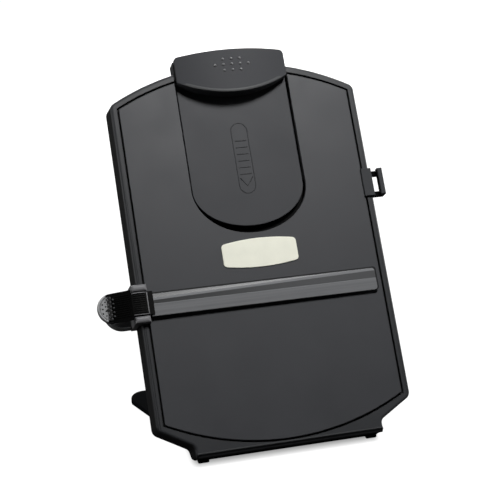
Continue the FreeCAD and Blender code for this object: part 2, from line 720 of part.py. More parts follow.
def prop_rack():
    """Two notched strips on the back that the prop's bar leans on."""
    tip = BACK_FACE - RACK_PROUD
    root = tip + RACK_TOOTH
    low = prop_reach(TILT_UP) - RACK_END
    high = prop_reach(TILT_BACK) + RACK_END
    count = int((high - low) // RACK_PITCH)
    margin = (high - low - count * RACK_PITCH) / 2
    points = [(low, BACK_FACE), (low, tip)]
    for index in range(count):
        middle = low + margin + RACK_PITCH * (index + 0.5)
        half = RACK_PITCH * 0.3
        points += [(middle - half, tip), (middle, root), (middle + half, tip)]
    points += [(high, tip), (high, BACK_FACE)]
    inner = PROP_HALF + RACK_GAP
    strip = profile_x(points, inner, inner + RACK_WIDTH)
    return group(both_sides(strip))


# ---------------------------------------------------------------- sliding panel and clip
def slide_outline(half, drop):
    """The sliding panel: rounded below, arched above."""
    edge_t = SLIDE_TOP - SLIDE_TOP_SAG
    a, b = V(-half, RECESS_CENTRE, 0), V(half, RECESS_CENTRE, 0)
    c, d = V(half, edge_t, 0), V(-half, edge_t, 0)
    top = arc(c, V(0, SLIDE_TOP, 0), d)
    return Part.Wire([half_ellipse(half, drop, RECESS_CENTRE), line(b, c), top, line(d, a)])


def slide_panel():
    plate = prism(slide_outline(SLIDE_HALF, SLIDE_DROP), SLIDE_BACK, SLIDE_FACE)
    plate = plate.makeFillet(PANEL_EDGE_R, edges_where(plate, on_level(SLIDE_FACE)))
    runner = box((RUNNER_HALF_IN, RUNNER_HALF_OUT), (RUNNER_BOTTOM, RUNNER_TOP), (RUNNER_BACK, SLIDE_BACK))
    return join([plate] + both_sides(runner))


def slide_head():
    """The grip block behind the panel's top edge. It rests above the board's arch."""
    half = SLIDE_HALF
    gap = 2 * SLIP
    under_r = BOARD_TOP_RADIUS + BOARD_DRAFT + gap
    under_top = BOARD_TOP + BOARD_DRAFT + gap
    edge_t = SLIDE_TOP - SLIDE_TOP_SAG
    a, b = V(half, edge_t, 0), V(half, under_top - sag_at(under_r, half), 0)
    c, d = V(-half, b.y, 0), V(-half, edge_t, 0)
    edges = [arc(d, V(0, SLIDE_TOP, 0), a), line(a, b), arc(b, V(0, under_top, 0), c), line(c, d)]
    block = prism(Part.Wire(edges), -HEAD_BACK, SLIDE_BACK)
    back = edges_where(block, on_level(-HEAD_BACK))
    return block.makeFillet(1.5, back)


def clip_mount():
    """Two ears on the sliding panel that carry the clip's pin."""
    reach = CLIP_LUG_INNER + 2 * CLIP_LUG_WIDTH + SLIP
    foot_t = (CLIP_PIVOT_T - CLIP_EAR_R, CLIP_PIVOT_T + CLIP_FOOT_LENGTH)
    foot = box((-reach, reach), foot_t, (SLIDE_FACE, SLIDE_FACE + CLIP_FOOT_THICK))
    inner = CLIP_LUG_INNER + CLIP_LUG_WIDTH + SLIP
    ears = both_sides(clip_ear(inner))
    bore = rod_x(CLIP_PIN_R + PIN_HOLD, -reach - 1, reach + 1, CLIP_PIVOT_T, CLIP_PIVOT_D)
    return cut(join([foot] + ears), [bore])


def clip_ear(inner):
    """A round-ended ear beside the pin, on the right side, rising from the foot."""
    span = (inner, inner + CLIP_LUG_WIDTH)
    stem_t = (CLIP_PIVOT_T - CLIP_EAR_R, CLIP_PIVOT_T + CLIP_EAR_R)
    stem = box(span, stem_t, (SLIDE_FACE + CLIP_FOOT_THICK / 2, CLIP_PIVOT_D))
    return join([stem, rod_x(CLIP_EAR_R, *span, CLIP_PIVOT_T, CLIP_PIVOT_D)])


def crown(radius, y0, y1):
    """The cylinder whose front is the clip's curved face."""
    return rod_y(radius, y0, y1, 0, CLIP_FRONT - CLIP_CROWN_R)


def clip_shape(inset, skin):
    """The clip's outline under its crowned face, moved in by inset and skin."""
    half = CLIP_HALF - inset
    top = CLIP_TOP - inset
    bottom = CLIP_BOTTOM + inset
    outline = lens_outline(half, top, CLIP_TOP_SAG, bottom, CLIP_BOTTOM_SAG)
    low = JAW_LOW + 0.1 if inset == 0 else SLIDE_FACE - 1
    block = prism(outline, low, CLIP_FRONT + 1)
    if inset == 0:
        block = block.makeFillet(CLIP_CORNER_R, upright_edges(block, lambda p: True))
    return block.common(crown(CLIP_CROWN_R - skin, bottom - 1, top + 1))


def clip_lever():
    wall = CLIP_THICK - 0.3
    body = clip_shape(0, 0)
    face = edges_where(body, lambda p: p.z > SLIDE_FACE + 6)
    body = body.makeFillet(1.2, face)
    swing = (CLIP_TOP - CLIP_PIVOT_T) * math.sin(math.radians(CLIP_OPEN))
    edge_d = SLIDE_FACE + CLIP_STOP_GAP + swing
    jaw_top = CLIP_BOTTOM + CLIP_BOTTOM_SAG + 0.3
    skirt_off = box((-CLIP_HALF - 1, CLIP_HALF + 1), (jaw_top, CLIP_TOP + 1), (SLIDE_FACE - 1, edge_d))
    shell = cut(body, [clip_shape(wall, CLIP_THICK), skirt_off])
    roof = clip_shape(wall / 2, CLIP_THICK / 2)
    rib_t = (CLIP_PIVOT_T - CLIP_LUG_R, CLIP_PIVOT_T + CLIP_LUG_R)
    rib_x = (CLIP_LUG_INNER, CLIP_LUG_INNER + CLIP_LUG_WIDTH)
    rib = box(rib_x, rib_t, (CLIP_PIVOT_D, CLIP_FRONT)).common(roof)
    lugs = both_sides(join([rib, rod_x(CLIP_LUG_R, *rib_x, CLIP_PIVOT_T, CLIP_PIVOT_D)]))
    reach = CLIP_LUG_INNER + CLIP_LUG_WIDTH + 1
    bore = rod_x(CLIP_PIN_R + PIN_FIT, -reach, reach, CLIP_PIVOT_T, CLIP_PIVOT_D)
    return cut(join([shell] + lugs), [bore, clip_pad_space()])


def clip_pad_space():
    """The stretch of the jaw's edge that the rubber pad takes up."""
    top = JAW_LOW + CLIP_PAD_THICK
    reach_t = CLIP_BOTTOM + sag_at(arc_radius(CLIP_HALF, CLIP_BOTTOM_SAG), CLIP_PAD_HALF) + CLIP_THICK
    return box((-CLIP_PAD_HALF, CLIP_PAD_HALF), (CLIP_BOTTOM - 1, reach_t), (SLIDE_FACE, top))


def clip_pad():
    low = JAW_LOW
    top = JAW_LOW + CLIP_PAD_THICK
    rear = CLIP_BOTTOM + CLIP_THICK - 0.4
    outer = lens_outline(CLIP_HALF, CLIP_TOP, CLIP_TOP_SAG, CLIP_BOTTOM + 0.2, CLIP_BOTTOM_SAG)
    inner = lens_outline(CLIP_HALF, CLIP_TOP, CLIP_TOP_SAG, rear, CLIP_BOTTOM_SAG)
    strip = cut(prism(outer, low, top), [prism(inner, low - 1, top + 1)])
    half = CLIP_PAD_HALF - 0.1
    return strip.common(box((-half, half), (CLIP_BOTTOM, CLIP_TOP), (low, top)))


def clip_pin():
    reach = CLIP_LUG_INNER + 2 * CLIP_LUG_WIDTH + SLIP - FIT
    return rod_x(CLIP_PIN_R, -reach, reach, CLIP_PIVOT_T, CLIP_PIVOT_D)


def spring_length(wire_r, turns):
    return wire_r * SPRING_PITCH * turns


def coil_spring(radius, wire_r, turns, leg):
    """A torsion spring along X, centred on X = 0, with a straight leg off each end."""
    pitch = wire_r * SPRING_PITCH
    length = spring_length(wire_r, turns)
    along = V(0, 2 * math.pi * radius, pitch)
    helix = Part.makeHelix(pitch, length, radius)
    section = Part.Wire([Part.makeCircle(wire_r, V(radius, 0, 0), along)])
    coil = Part.Wire(helix.Edges).makePipeShell([section], True, True)
    legs = [Part.makeCylinder(wire_r, leg, V(radius, 0, 0), along * -1)]
    legs.append(Part.makeCylinder(wire_r, leg, V(radius, 0, length), along))
    coil = join([coil] + legs)
    coil.rotate(V(0, 0, 0), Y_AXIS, 90)
    coil.translate(V(-length / 2, 0, 0))
    return coil


def clip_spring():
    spring = coil_spring(CLIP_SPRING_R, CLIP_SPRING_WIRE_R, CLIP_SPRING_TURNS, CLIP_SPRING_LEG)
    spring.translate(V(0, CLIP_PIVOT_T, CLIP_PIVOT_D))
    return spring


# ---------------------------------------------------------------- line guide
def left_web(outer, front):
    """The wall beside the board's drafted left edge, with its rear jaw, as (x, z) points."""
    top_in = -(BOARD_HALF + SLIP)
    jaw_in = JAW_FRONT - JAW_PAD
    low_in = top_in + SIDE_SLOPE * jaw_in
    jaw_out = jaw_in - JAW_THICK
    points = [(top_in + SIDE_SLOPE * front, front), (low_in, jaw_in), (JAW_REACH, jaw_in)]
    return points + [(JAW_REACH, jaw_out), (outer, jaw_out), (outer, front)]


def carriage_span():
    return (GUIDE_T - CARRIAGE_HALF, GUIDE_T + CARRIAGE_HALF)


def web_front():
    """Top of the carriage's wall, clear of the lever when the bar is lifted."""
    arm = LEVER_PIVOT_S - CARRIAGE_LEFT
    underside = LEVER_PIVOT_D + LEVER_SKIN[0][1] - LEVER_THICK
    return underside - arm * math.sin(math.radians(GUIDE_OPEN)) - WEB_GAP


def guide_carriage():
    low, high = carriage_span()
    front_d = web_front()
    web = profile_y(left_web(CARRIAGE_LEFT, front_d), low, high)
    jaw_d = JAW_FRONT - JAW_PAD
    web = web.makeFillet(1.2, edges_where(web, lambda p: p.x > JAW_REACH - 0.01 and p.z < jaw_d - 1))
    ears = []
    for start in (low, high - EAR_WIDTH):
        ear = box((CARRIAGE_LEFT, EAR_RIGHT), (start, start + EAR_WIDTH), (SLIP, EAR_FRONT))
        front = edges_where(ear, on_level(EAR_FRONT))
        ear = ear.makeFillet(EAR_R, front)
        root_in = -(BOARD_HALF + SLIP)
        root = box((CARRIAGE_LEFT, root_in), (start, start + EAR_WIDTH), (front_d - 1, SLIP + 1))
        ears += [ear, root]
    rest = finger_rest()
    bore = rod_y(LEVER_PIN_R + PIN_HOLD, low - 1, high + 1, LEVER_PIVOT_S, LEVER_PIVOT_D)
    return cut(join([web] + ears + [rest]), [bore])


def finger_rest_wire(inset):
    """The rounded tongue left of the board, as a wire."""
    half = CARRIAGE_HALF - REST_INSET - inset
    bend = REST_LEFT + half + inset
    right = CARRIAGE_LEFT + 1
    a, b = V(right, GUIDE_T + half, 0), V(bend, GUIDE_T + half, 0)
    c, d = V(bend, GUIDE_T - half, 0), V(right, GUIDE_T - half, 0)
    tip = V(REST_LEFT + inset, GUIDE_T, 0)
    return Part.Wire([line(a, b), arc(b, tip, c), line(c, d), line(d, a)])


def finger_rest():
    back = JAW_FRONT - JAW_PAD - JAW_THICK
    floor = prism(finger_rest_wire(0), back, back + REST_THICK)
    rim = prism(finger_rest_wire(0), back, back + REST_THICK + REST_FLANGE)
    rim = cut(rim, [prism(finger_rest_wire(REST_WALL), back - 1, back + REST_THICK + REST_FLANGE + 1)])
    return join([floor, rim])


def carriage_pad():
    low, high = carriage_span()
    pad_x = (-(BOARD_HALF - 2), JAW_REACH - 1)
    return box(pad_x, (low + 2, high - 2), (JAW_FRONT - JAW_PAD, JAW_FRONT))


def lever_profile():
    """The lever seen along its pin, as (x, z) points of its upper and lower skins."""
    nose = BAR_LEFT + LEVER_NOSE
    p_s, p_d = LEVER_PIVOT_S, LEVER_PIVOT_D
    arm = [(p_s + out, p_d + rise) for out, rise in LEVER_SKIN] + [(LEVER_LEFT, p_d - LEVER_TIP_DROP)]
    shoulder = (p_s + LEVER_SHOULDER[0], p_d + LEVER_SHOULDER[1])
    upper = [(nose, BAR_LIFT_LEFT + BAR_THICK + LEVER_LID), shoulder, (p_s, p_d + LEVER_BARREL_R)] + arm
    lower = [(x, z - LEVER_THICK) for x, z in reversed(arm)]
    floor_d = BAR_LIFT_LEFT - LEVER_FLOOR
    lower += [(p_s, p_d + 1), (p_s + LEVER_HEEL, floor_d), (nose, floor_d)]
    return upper + lower


def lever_outline():
    """The lever seen from the front: narrow between the ears, wide at the thumb."""
    half = LEVER_HALF
    wide = LEVER_WING_HALF
    right = BAR_LEFT + LEVER_NOSE
    step = CARRIAGE_LEFT - 2 * SLIP
    bend = LEVER_LEFT + wide
    points = [(right, half), (step, half), (step, wide), (bend, wide)]
    top = [V(x, GUIDE_T + y, 0) for x, y in points]
    low = [V(x, GUIDE_T - y, 0) for x, y in reversed(points)]
    edges = [line(a, b) for a, b in zip(top, top[1:])]
    edges.append(arc(top[-1], V(LEVER_LEFT, GUIDE_T, 0), low[0]))
    edges += [line(a, b) for a, b in zip(low, low[1:])]
    edges.append(line(low[-1], top[0]))
    return Part.Wire(edges)


def guide_lever():
    wide = LEVER_WING_HALF + 1
    skin = profile_y(lever_profile(), GUIDE_T - wide, GUIDE_T + wide)
    barrel = rod_y(LEVER_BARREL_R, GUIDE_T - LEVER_HALF, GUIDE_T + LEVER_HALF, LEVER_PIVOT_S, LEVER_PIVOT_D)
    trimmed = skin.common(prism(lever_outline(), -THROUGH, THROUGH))
    bore = rod_y(LEVER_PIN_R + PIN_FIT, GUIDE_T - wide, GUIDE_T + wide, LEVER_PIVOT_S, LEVER_PIVOT_D)
    return cut(join([trimmed, barrel]), [bore, bar_solid(PIN_FIT), guide_spring_room()])


def guide_spring_room():
    """The pocket in the lever's barrel that the spring sits in, open towards the board."""
    half = spring_length(GUIDE_SPRING_WIRE_R, GUIDE_SPRING_TURNS) / 2 + GUIDE_SPRING_WIRE_R + SLIP
    radius = GUIDE_SPRING_R + GUIDE_SPRING_WIRE_R + SLIP / 2
    span = (GUIDE_T - half, GUIDE_T + half)
    hollow = rod_y(radius, *span, LEVER_PIVOT_S, LEVER_PIVOT_D)
    reach = LEVER_BARREL_R + 1
    swing = LEVER_BARREL_R * math.sin(math.radians(GUIDE_OPEN))
    leg_top = LEVER_PIVOT_D - GUIDE_SPRING_R + GUIDE_SPRING_WIRE_R
    side = (LEVER_PIVOT_S - reach, LEVER_PIVOT_S + reach)
    mouth = box(side, span, (LEVER_PIVOT_D - reach, leg_top + swing + SLIP))
    return join([hollow, mouth])


def guide_spring():
    spring = coil_spring(GUIDE_SPRING_R, GUIDE_SPRING_WIRE_R, GUIDE_SPRING_TURNS, GUIDE_SPRING_LEG)
    spring.rotate(V(0, 0, 0), Z_AXIS, 90)
    spring.translate(V(LEVER_PIVOT_S, GUIDE_T, LEVER_PIVOT_D))
    return spring


def thumb_pad():
    """The grip pad that lies on the lever's outer end."""
    inset = THUMB_PAD_INSET
    wide = LEVER_WING_HALF - inset
    bend = LEVER_LEFT + LEVER_WING_HALF
    skin = [(LEVER_PIVOT_S + out, LEVER_PIVOT_D + rise) for out, rise in LEVER_SKIN[-2:]]
    skin.append((LEVER_LEFT, LEVER_PIVOT_D - LEVER_TIP_DROP))
    right = skin[0][0]
    a, b = V(right, GUIDE_T + wide, 0), V(bend, GUIDE_T + wide, 0)
    c, d = V(bend, GUIDE_T - wide, 0), V(right, GUIDE_T - wide, 0)
    tip = V(LEVER_LEFT + inset, GUIDE_T, 0)
    wire = Part.Wire([line(a, b), arc(b, tip, c), line(c, d), line(d, a)])
    raised = [(x, z + THUMB_PAD_THICK) for x, z in reversed(skin)]
    layer = profile_y(skin + raised, GUIDE_T - wide - 1, GUIDE_T + wide + 1)
    return cut(layer.common(prism(wire, -THROUGH, THROUGH)), thumb_dimples(skin))


def thumb_dimples(skin):
    """Balls that hollow the pad's upper face, in rows across it."""
    balls = []
    for reach, count in DIMPLE_ROWS:
        x = LEVER_LEFT + THUMB_PAD_INSET + reach
        (x0, z0), (x1, z1) = next(pair for pair in zip(skin, skin[1:]) if x >= pair[1][0])
        surface = z0 + (z1 - z0) * (x - x0) / (x1 - x0) + THUMB_PAD_THICK
        for i in range(count):
            y = GUIDE_T + (i - (count - 1) / 2) * DIMPLE_PITCH
            balls.append(Part.makeSphere(DIMPLE_R, V(x, y, surface + DIMPLE_R - DIMPLE_DEEP)))
    return balls


def bar_blank(grow=0.0):
    """The line-guide bar at its full thickness, square to the board."""
    low = BAR_BOTTOM - grow
    high = BAR_BOTTOM + BAR_WIDTH + grow
    back = BAR_LIFT_LEFT - grow
    front = BAR_LIFT_LEFT + BAR_THICK + grow
    left = BAR_LEFT - BAR_TENON - grow
    bar = box((left, BAR_RIGHT), (low, high), (back, front))
    round_ends = upright_edges(bar, lambda p: p.x > 0)
    return bar.makeFillet(BAR_CORNER_R, round_ends)


def leaned(bar):
    """The bar turned so that its free end lies nearer the board."""
    lean = math.degrees(math.atan2(BAR_LIFT_LEFT - BAR_LIFT_RIGHT, BAR_RIGHT - BAR_LEFT))
    bar.rotate(V(BAR_LEFT, 0, BAR_LIFT_LEFT), Y_AXIS, lean)
    return bar


def bar_solid(grow=0.0):
    return leaned(bar_blank(grow))


def bar_bevel():
    """The wedge cut off the bar's upper front edge, widest at the lever."""
    high = BAR_BOTTOM + BAR_WIDTH
    front = BAR_LIFT_LEFT + BAR_THICK - BAR_STEP_DEEP
    slope = math.tan(math.radians(BAR_BEVEL_LEAN))
    ends = []
    for x, width in ((BAR_LEFT - BAR_TENON, BAR_BEVEL_LEFT), (BAR_RIGHT, BAR_BEVEL_RIGHT)):
        fall = slope * (width + 1)
        points = [(high - width, front), (high + 1, front - fall), (high + 1, front + BAR_THICK)]
        points.append((high - width, front + BAR_THICK))
        corners = [V(x, y, z) for y, z in points]
        ends.append(Part.makePolygon(corners + corners[:1]))
    return Part.makeLoft(ends, True, True)


def guide_bar():
    """A raised lower band, a step down above it, and a bevel that narrows towards the free end."""
    step_t = BAR_BOTTOM + BAR_BAND
    front = BAR_LIFT_LEFT + BAR_THICK
    span = (BAR_LEFT - BAR_TENON - 1, BAR_RIGHT + 1)
    step = box(span, (step_t, BAR_BOTTOM + BAR_WIDTH + 1), (front - BAR_STEP_DEEP, front + 1))
    return leaned(cut(bar_blank(), [step, bar_bevel()]))


def guide_pin():
    low, high = carriage_span()
    return rod_y(LEVER_PIN_R, low + 1, high - 1, LEVER_PIVOT_S, LEVER_PIVOT_D)


# ---------------------------------------------------------------- pen clip
def pen_clip():
    """A clip around the right edge, with an open channel for a pen outside it."""
    low, high = PEN_T - PEN_HALF, PEN_T + PEN_HALF
    front_in = SLIP
    front_out = SLIP + PEN_FRONT_THICK
    back_in = JAW_FRONT
    back_out = JAW_FRONT - PEN_FRONT_THICK

    def inner_x(z):
        return BOARD_HALF + SLIP - SIDE_SLOPE * z

    points = [(PEN_FRONT_REACH, front_in), (inner_x(front_in), front_in), (inner_x(back_in), back_in)]
    points += [(PEN_BACK_REACH, back_in), (PEN_BACK_REACH, back_out)]
    points += [(inner_x(back_out) + PEN_WALL, back_out), (inner_x(front_out) + PEN_WALL, front_out)]
    points += [(PEN_FRONT_REACH, front_out)]
    grip = profile_y(points, low, high)
    grip = grip.makeFillet(0.8, edges_where(grip, on_level(front_out)))
    plate_t = (low + PEN_PLATE_INSET, high)
    plate = box((PEN_PLATE_IN, PEN_PLATE_OUT), plate_t, (-PEN_PLATE_DEPTH, 0))
    plate = plate.makeFillet(1.0, edges_where(plate, on_level(0)))
    arms = []
    for start in (low + PEN_PLATE_INSET, high - PEN_PLATE_INSET - PEN_ARM_WIDTH):
        span = (inner_x(-PEN_PLATE_DEPTH) + PEN_WALL / 2, PEN_PLATE_OUT)
        depth = (-PEN_PLATE_DEPTH - PEN_ARM_DEPTH, -PEN_PLATE_DEPTH)
        arms.append(box(span, (start, start + PEN_ARM_WIDTH), depth))
    return join([grip, plate] + arms)


# ---------------------------------------------------------------- base pieces in the desk frame
def base_outline():
    right = [(BASE_FRONT_HALF, BASE_FRONT), (BASE_FRONT_HALF, BASE_FLARE_START)]
    right += [(BASE_REAR_HALF, BASE_FLARE_END), (BASE_REAR_HALF, BASE_REAR)]
    corners = [V(x, y, 0) for x, y in right + [(-x, y) for x, y in reversed(right)]]
    return Part.makePolygon(corners + corners[:1])


def base_ear(inner, width, y):
    """A round-topped ear that stands on the plate and holds a hinge rod."""
    span = (inner, inner + width)
    stem = box(span, (y - HINGE_EAR_R, y + HINGE_EAR_R), (PLATE_TOP - 1, HINGE_HEIGHT))
    return join([stem, rod_x(HINGE_EAR_R, *span, y, HINGE_HEIGHT)])


def ballast_box(clear):
    size_x = (-BALLAST_HALF - clear, BALLAST_HALF + clear)
    size_y = (BALLAST_FRONT - clear, BALLAST_REAR + clear)
    return size_x, size_y


def ballast_screw_places():
    x = BALLAST_HALF - BALLAST_SCREW_INSET
    return [(x, BALLAST_FRONT + BALLAST_SCREW_INSET), (x, BALLAST_REAR - BALLAST_SCREW_INSET)]


def base_plate():
    plate = prism(base_outline(), FOOT_HEIGHT, PLATE_TOP)
    front = upright_edges(plate, lambda p: p.y < BASE_FRONT + 1)
    plate = plate.makeFillet(BASE_FRONT_R, front)
    rear = upright_edges(plate, lambda p: p.y > BASE_REAR - 1)
    plate = plate.makeFillet(BASE_REAR_R, rear)
    plate = plate.makeFillet(1.2, edges_where(plate, on_level(PLATE_TOP)))
    corner = BASE_FRONT + BASE_FRONT_R + 0.1
    under = edges_where(plate, lambda p: abs(p.z - FOOT_HEIGHT) < 1e-4 and p.y < corner)
    plate = plate.makeChamfer(BASE_FRONT_CHAMFER, under)
    ears = both_sides(base_ear(HINGE_EAR_INNER, HINGE_EAR_WIDTH, 0))
    ears += both_sides(base_ear(PROP_HALF + 2 * SLIP, PROP_EAR_WIDTH, PROP_SPAN))
    plate = join([plate] + ears)
    pocket = box(*ballast_box(FIT / 2), (FOOT_HEIGHT - 1, FOOT_HEIGHT + BALLAST_THICK))
    far = BASE_FRONT_HALF
    tools = [pocket, rod_x(HINGE_ROD_R + PIN_HOLD, -far, far, 0, HINGE_HEIGHT)]
    tools.append(rod_x(PROP_ROD_R + PIN_HOLD, -far, far, PROP_SPAN, HINGE_HEIGHT))
    tools += foot_seats(PIN_HOLD)
    for x, y in ballast_screw_places():
        hole = rod_z(SCREW_R + PIN_HOLD, FOOT_HEIGHT, PLATE_TOP - 0.6, x, y)
        tools += both_sides(hole)
    return cut(plate, tools)


def ballast_plate():
    plate = box(*ballast_box(-FIT / 2), (FOOT_HEIGHT, FOOT_HEIGHT + BALLAST_THICK))
    holes = []
    for x, y in ballast_screw_places():
        hole = rod_z(SCREW_R + PIN_FIT, 0, PLATE_TOP, x, y)
        sink = rod_z(SCREW_HEAD_R + PIN_FIT, 0, FOOT_HEIGHT + SCREW_HEAD, x, y)
        holes += both_sides(hole) + both_sides(sink)
    return cut(plate, holes)


def ballast_screws():
    screws = []
    for x, y in ballast_screw_places():
        head = rod_z(SCREW_HEAD_R, FOOT_HEIGHT + 0.1, FOOT_HEIGHT + SCREW_HEAD, x, y)
        shank = rod_z(SCREW_R, FOOT_HEIGHT + SCREW_HEAD, PLATE_TOP - 0.7, x, y)
        screws += both_sides(join([head, shank]))
    return group(screws)


def front_foot(grow, top):
    half = FRONT_FOOT_WIDTH / 2 + grow
    start = BASE_FRONT + BASE_FRONT_CHAMFER + 0.4 - grow
    span_y = (start, start + FRONT_FOOT_LENGTH + 2 * grow)
    foot = box((FRONT_FOOT_X - half, FRONT_FOOT_X + half), span_y, (0, top))
    foot = foot.makeFillet(1.5, upright_edges(foot, lambda p: True))
    return foot


def rear_foot(grow, top):
    return rod_z(REAR_FOOT_R + grow, 0, top, REAR_FOOT_X, REAR_FOOT_Y)


def foot_seats(grow):
    top = FOOT_HEIGHT + FOOT_SEAT
    return both_sides(front_foot(grow, top)) + both_sides(rear_foot(grow, top))


def front_feet():
    foot = front_foot(0, FOOT_HEIGHT + FOOT_SEAT)
    return group(both_sides(foot.makeFillet(0.5, edges_where(foot, on_level(0)))))


def rear_feet():
    foot = rear_foot(0, FOOT_HEIGHT + FOOT_SEAT)
    return group(both_sides(foot.makeFillet(0.5, edges_where(foot, on_level(0)))))


def hinge_rod():
    reach = HINGE_EAR_INNER + HINGE_EAR_WIDTH - 0.5
    return rod_x(HINGE_ROD_R, -reach, reach, 0, HINGE_HEIGHT)


def prop_rod():
    reach = PROP_HALF + 2 * SLIP + PROP_EAR_WIDTH - 0.5
    return rod_x(PROP_ROD_R, -reach, reach, PROP_SPAN, HINGE_HEIGHT)


# ---------------------------------------------------------------- prop
def prop_angle():
    """The prop's angle above the desk, measured from the rear, when its bar meets the rack."""
    offset = HINGE_D - PROP_BAR_D
    reach = PROP_SPAN * math.sin(math.radians(BOARD_ELEVATION)) - offset
    return BOARD_ELEVATION + math.degrees(math.asin(reach / PROP_LENGTH))


def place_prop(shape):
    """From upright above the prop's hinge to its leaning place."""
    shape.rotate(V(0, 0, 0), X_AXIS, prop_angle() - 90)
    shape.translate(V(0, PROP_SPAN, HINGE_HEIGHT))
    return shape


def prop_leg():
    """A plate that swings on the base and carries a bar along its top edge."""
    half = PROP_HALF
    plate = box((-half, half), (-PROP_THICK / 2, PROP_THICK / 2), (0, PROP_LENGTH))
    low = rod_x(PROP_BARREL_R, -half, half, 0, 0)
    high = rod_x(PROP_BARREL_R, -half, half, 0, PROP_LENGTH)
    edge = PROP_PANEL_EDGE
    panel_z = (PROP_BARREL_R + edge, PROP_LENGTH - PROP_BARREL_R - edge)
    recess = box((edge - half, half - edge), (PROP_THICK / 2 - PROP_PANEL_DEPTH, PROP_THICK), panel_z)
    bores = [rod_x(PROP_ROD_R + PIN_FIT, -half - 1, half + 1, 0, 0)]
    bores.append(rod_x(PROP_BAR_R + PIN_HOLD, -half - 1, half + 1, 0, PROP_LENGTH))
    return place_prop(cut(join([plate, low, high]), [recess] + bores))


def prop_bar():
    reach = PROP_HALF + RACK_GAP + RACK_WIDTH + 1
    return place_prop(rod_x(PROP_BAR_R, -reach, reach, 0, PROP_LENGTH))


# ---------------------------------------------------------------- assembly
def board_placement():
    """Board frame to desk frame: the hinge axis lands above the desk's origin."""
    turn = FreeCAD.Rotation(X_AXIS, BOARD_ELEVATION)
    hinge = turn.multVec(V(0, HINGE_T, HINGE_D))
    return FreeCAD.Placement(V(0, 0, HINGE_HEIGHT) - hinge, turn)


BOARD_MAKERS = {
    "board_frame": board_frame,
    "front_panel": front_panel,
    "back_cover": back_cover,
    "cover_screws": cover_screws,
    "slide_tray": slide_tray,
    "tray_screws": tray_screws,
    "slide_keepers": slide_keepers,
    "badge_plate": badge,
    "prop_rack": prop_rack,
    "slide_panel": slide_panel,
    "slide_head": slide_head,
    "clip_mount": clip_mount,
    "clip_pin": clip_pin,
    "clip_spring": clip_spring,
    "clip_lever": clip_lever,
    "clip_pad": clip_pad,
    "guide_carriage": guide_carriage,
    "carriage_pad": carriage_pad,
    "guide_pin": guide_pin,
    "guide_spring": guide_spring,
    "guide_lever": guide_lever,
    "thumb_pad": thumb_pad,
    "guide_bar": guide_bar,
    "pen_clip": pen_clip,
}
DESK_MAKERS = {
    "base_plate": base_plate,
    "ballast_plate": ballast_plate,
    "ballast_screws": ballast_screws,
    "front_feet": front_feet,
    "rear_feet": rear_feet,
    "hinge_rod": hinge_rod,
    "prop_rod": prop_rod,
    "prop_leg": prop_leg,
    "prop_bar": prop_bar,
}


def build():
    for node, maker in BOARD_MAKERS.items():
        shape = maker()
        shape.Placement = board_placement().multiply(shape.Placement)
        keep(node, shape)
    for node, maker in DESK_MAKERS.items():
        keep(node, maker())
    whole = Part.makeCompound(list(NODES.values())).optimalBoundingBox(False)
    shift = V(-(whole.XMin + whole.XMax) / 2, -(whole.YMin + whole.YMax) / 2, -whole.ZMin)
    for shape in NODES.values():
        shape.translate(shift)
    return shift


def main():
    shift = build()
    os.makedirs("parts", exist_ok=True)
    for node, shape in NODES.items():
        shape.exportStep(os.path.join("parts", node + ".step"))
    print("nodes", len(NODES), "shift", shift)
    return shift


SHIFT = main()
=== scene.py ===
"""The looks of a copy holder with a line guide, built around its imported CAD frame."""

import json
import math

import bmesh
import bpy
from mathutils import Matrix, Vector


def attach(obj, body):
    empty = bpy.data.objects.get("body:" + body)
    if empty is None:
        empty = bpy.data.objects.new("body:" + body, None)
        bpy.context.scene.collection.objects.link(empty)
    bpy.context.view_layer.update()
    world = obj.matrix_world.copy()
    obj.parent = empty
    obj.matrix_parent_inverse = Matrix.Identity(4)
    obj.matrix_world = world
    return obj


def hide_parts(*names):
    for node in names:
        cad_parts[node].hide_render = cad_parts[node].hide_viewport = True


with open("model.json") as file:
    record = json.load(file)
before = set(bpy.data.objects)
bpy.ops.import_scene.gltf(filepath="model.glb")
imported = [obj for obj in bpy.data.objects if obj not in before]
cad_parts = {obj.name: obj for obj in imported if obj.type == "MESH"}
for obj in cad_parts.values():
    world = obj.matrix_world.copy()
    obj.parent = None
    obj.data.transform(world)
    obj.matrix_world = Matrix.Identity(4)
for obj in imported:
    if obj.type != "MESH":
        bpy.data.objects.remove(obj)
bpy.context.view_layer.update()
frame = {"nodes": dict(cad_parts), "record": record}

MM = 0.001

# ---------------------------------------------------------------- where things are
# Board coordinates in millimetres: s across from the middle, t up the board, d out of its face.

JOINTS = {joint["name"]: joint for joint in frame["record"]["behaviour"]["joints"]}
HINGE = Vector(JOINTS["board_tilt"]["pos_m"])
ACROSS = Vector((1, 0, 0))
UP = Vector(JOINTS["slide_extend"]["axis"]).normalized()
OUT = ACROSS.cross(UP)
HINGE_T = -27.0              # where the hinge is, in board coordinates
HINGE_D = -9.0
BOARD_ORIGIN = HINGE - UP * HINGE_T * MM - OUT * HINGE_D * MM

SLIDE_FACE = -4.0            # d of the sliding panel's face
CLIP_FRONT = 13.0            # d of the paper clip's crowned face at its middle
CLIP_CROWN_R = 207.0
CLIP_HALF = 57.2
CLIP_BOTTOM = 319.4          # t of its lower edge at the middle
CLIP_BOTTOM_SAG = 16.8       # and how much higher that edge's ends are
GUIDE_T = 117.5              # t of the line guide's middle
THUMB_S = -152.0             # centre of the thumb end's round
THUMB_R = 14.5


def at(s, t, d=0.0):
    """A point in board coordinates, as a point in metres."""
    return BOARD_ORIGIN + (ACROSS * s + UP * t + OUT * d) * MM


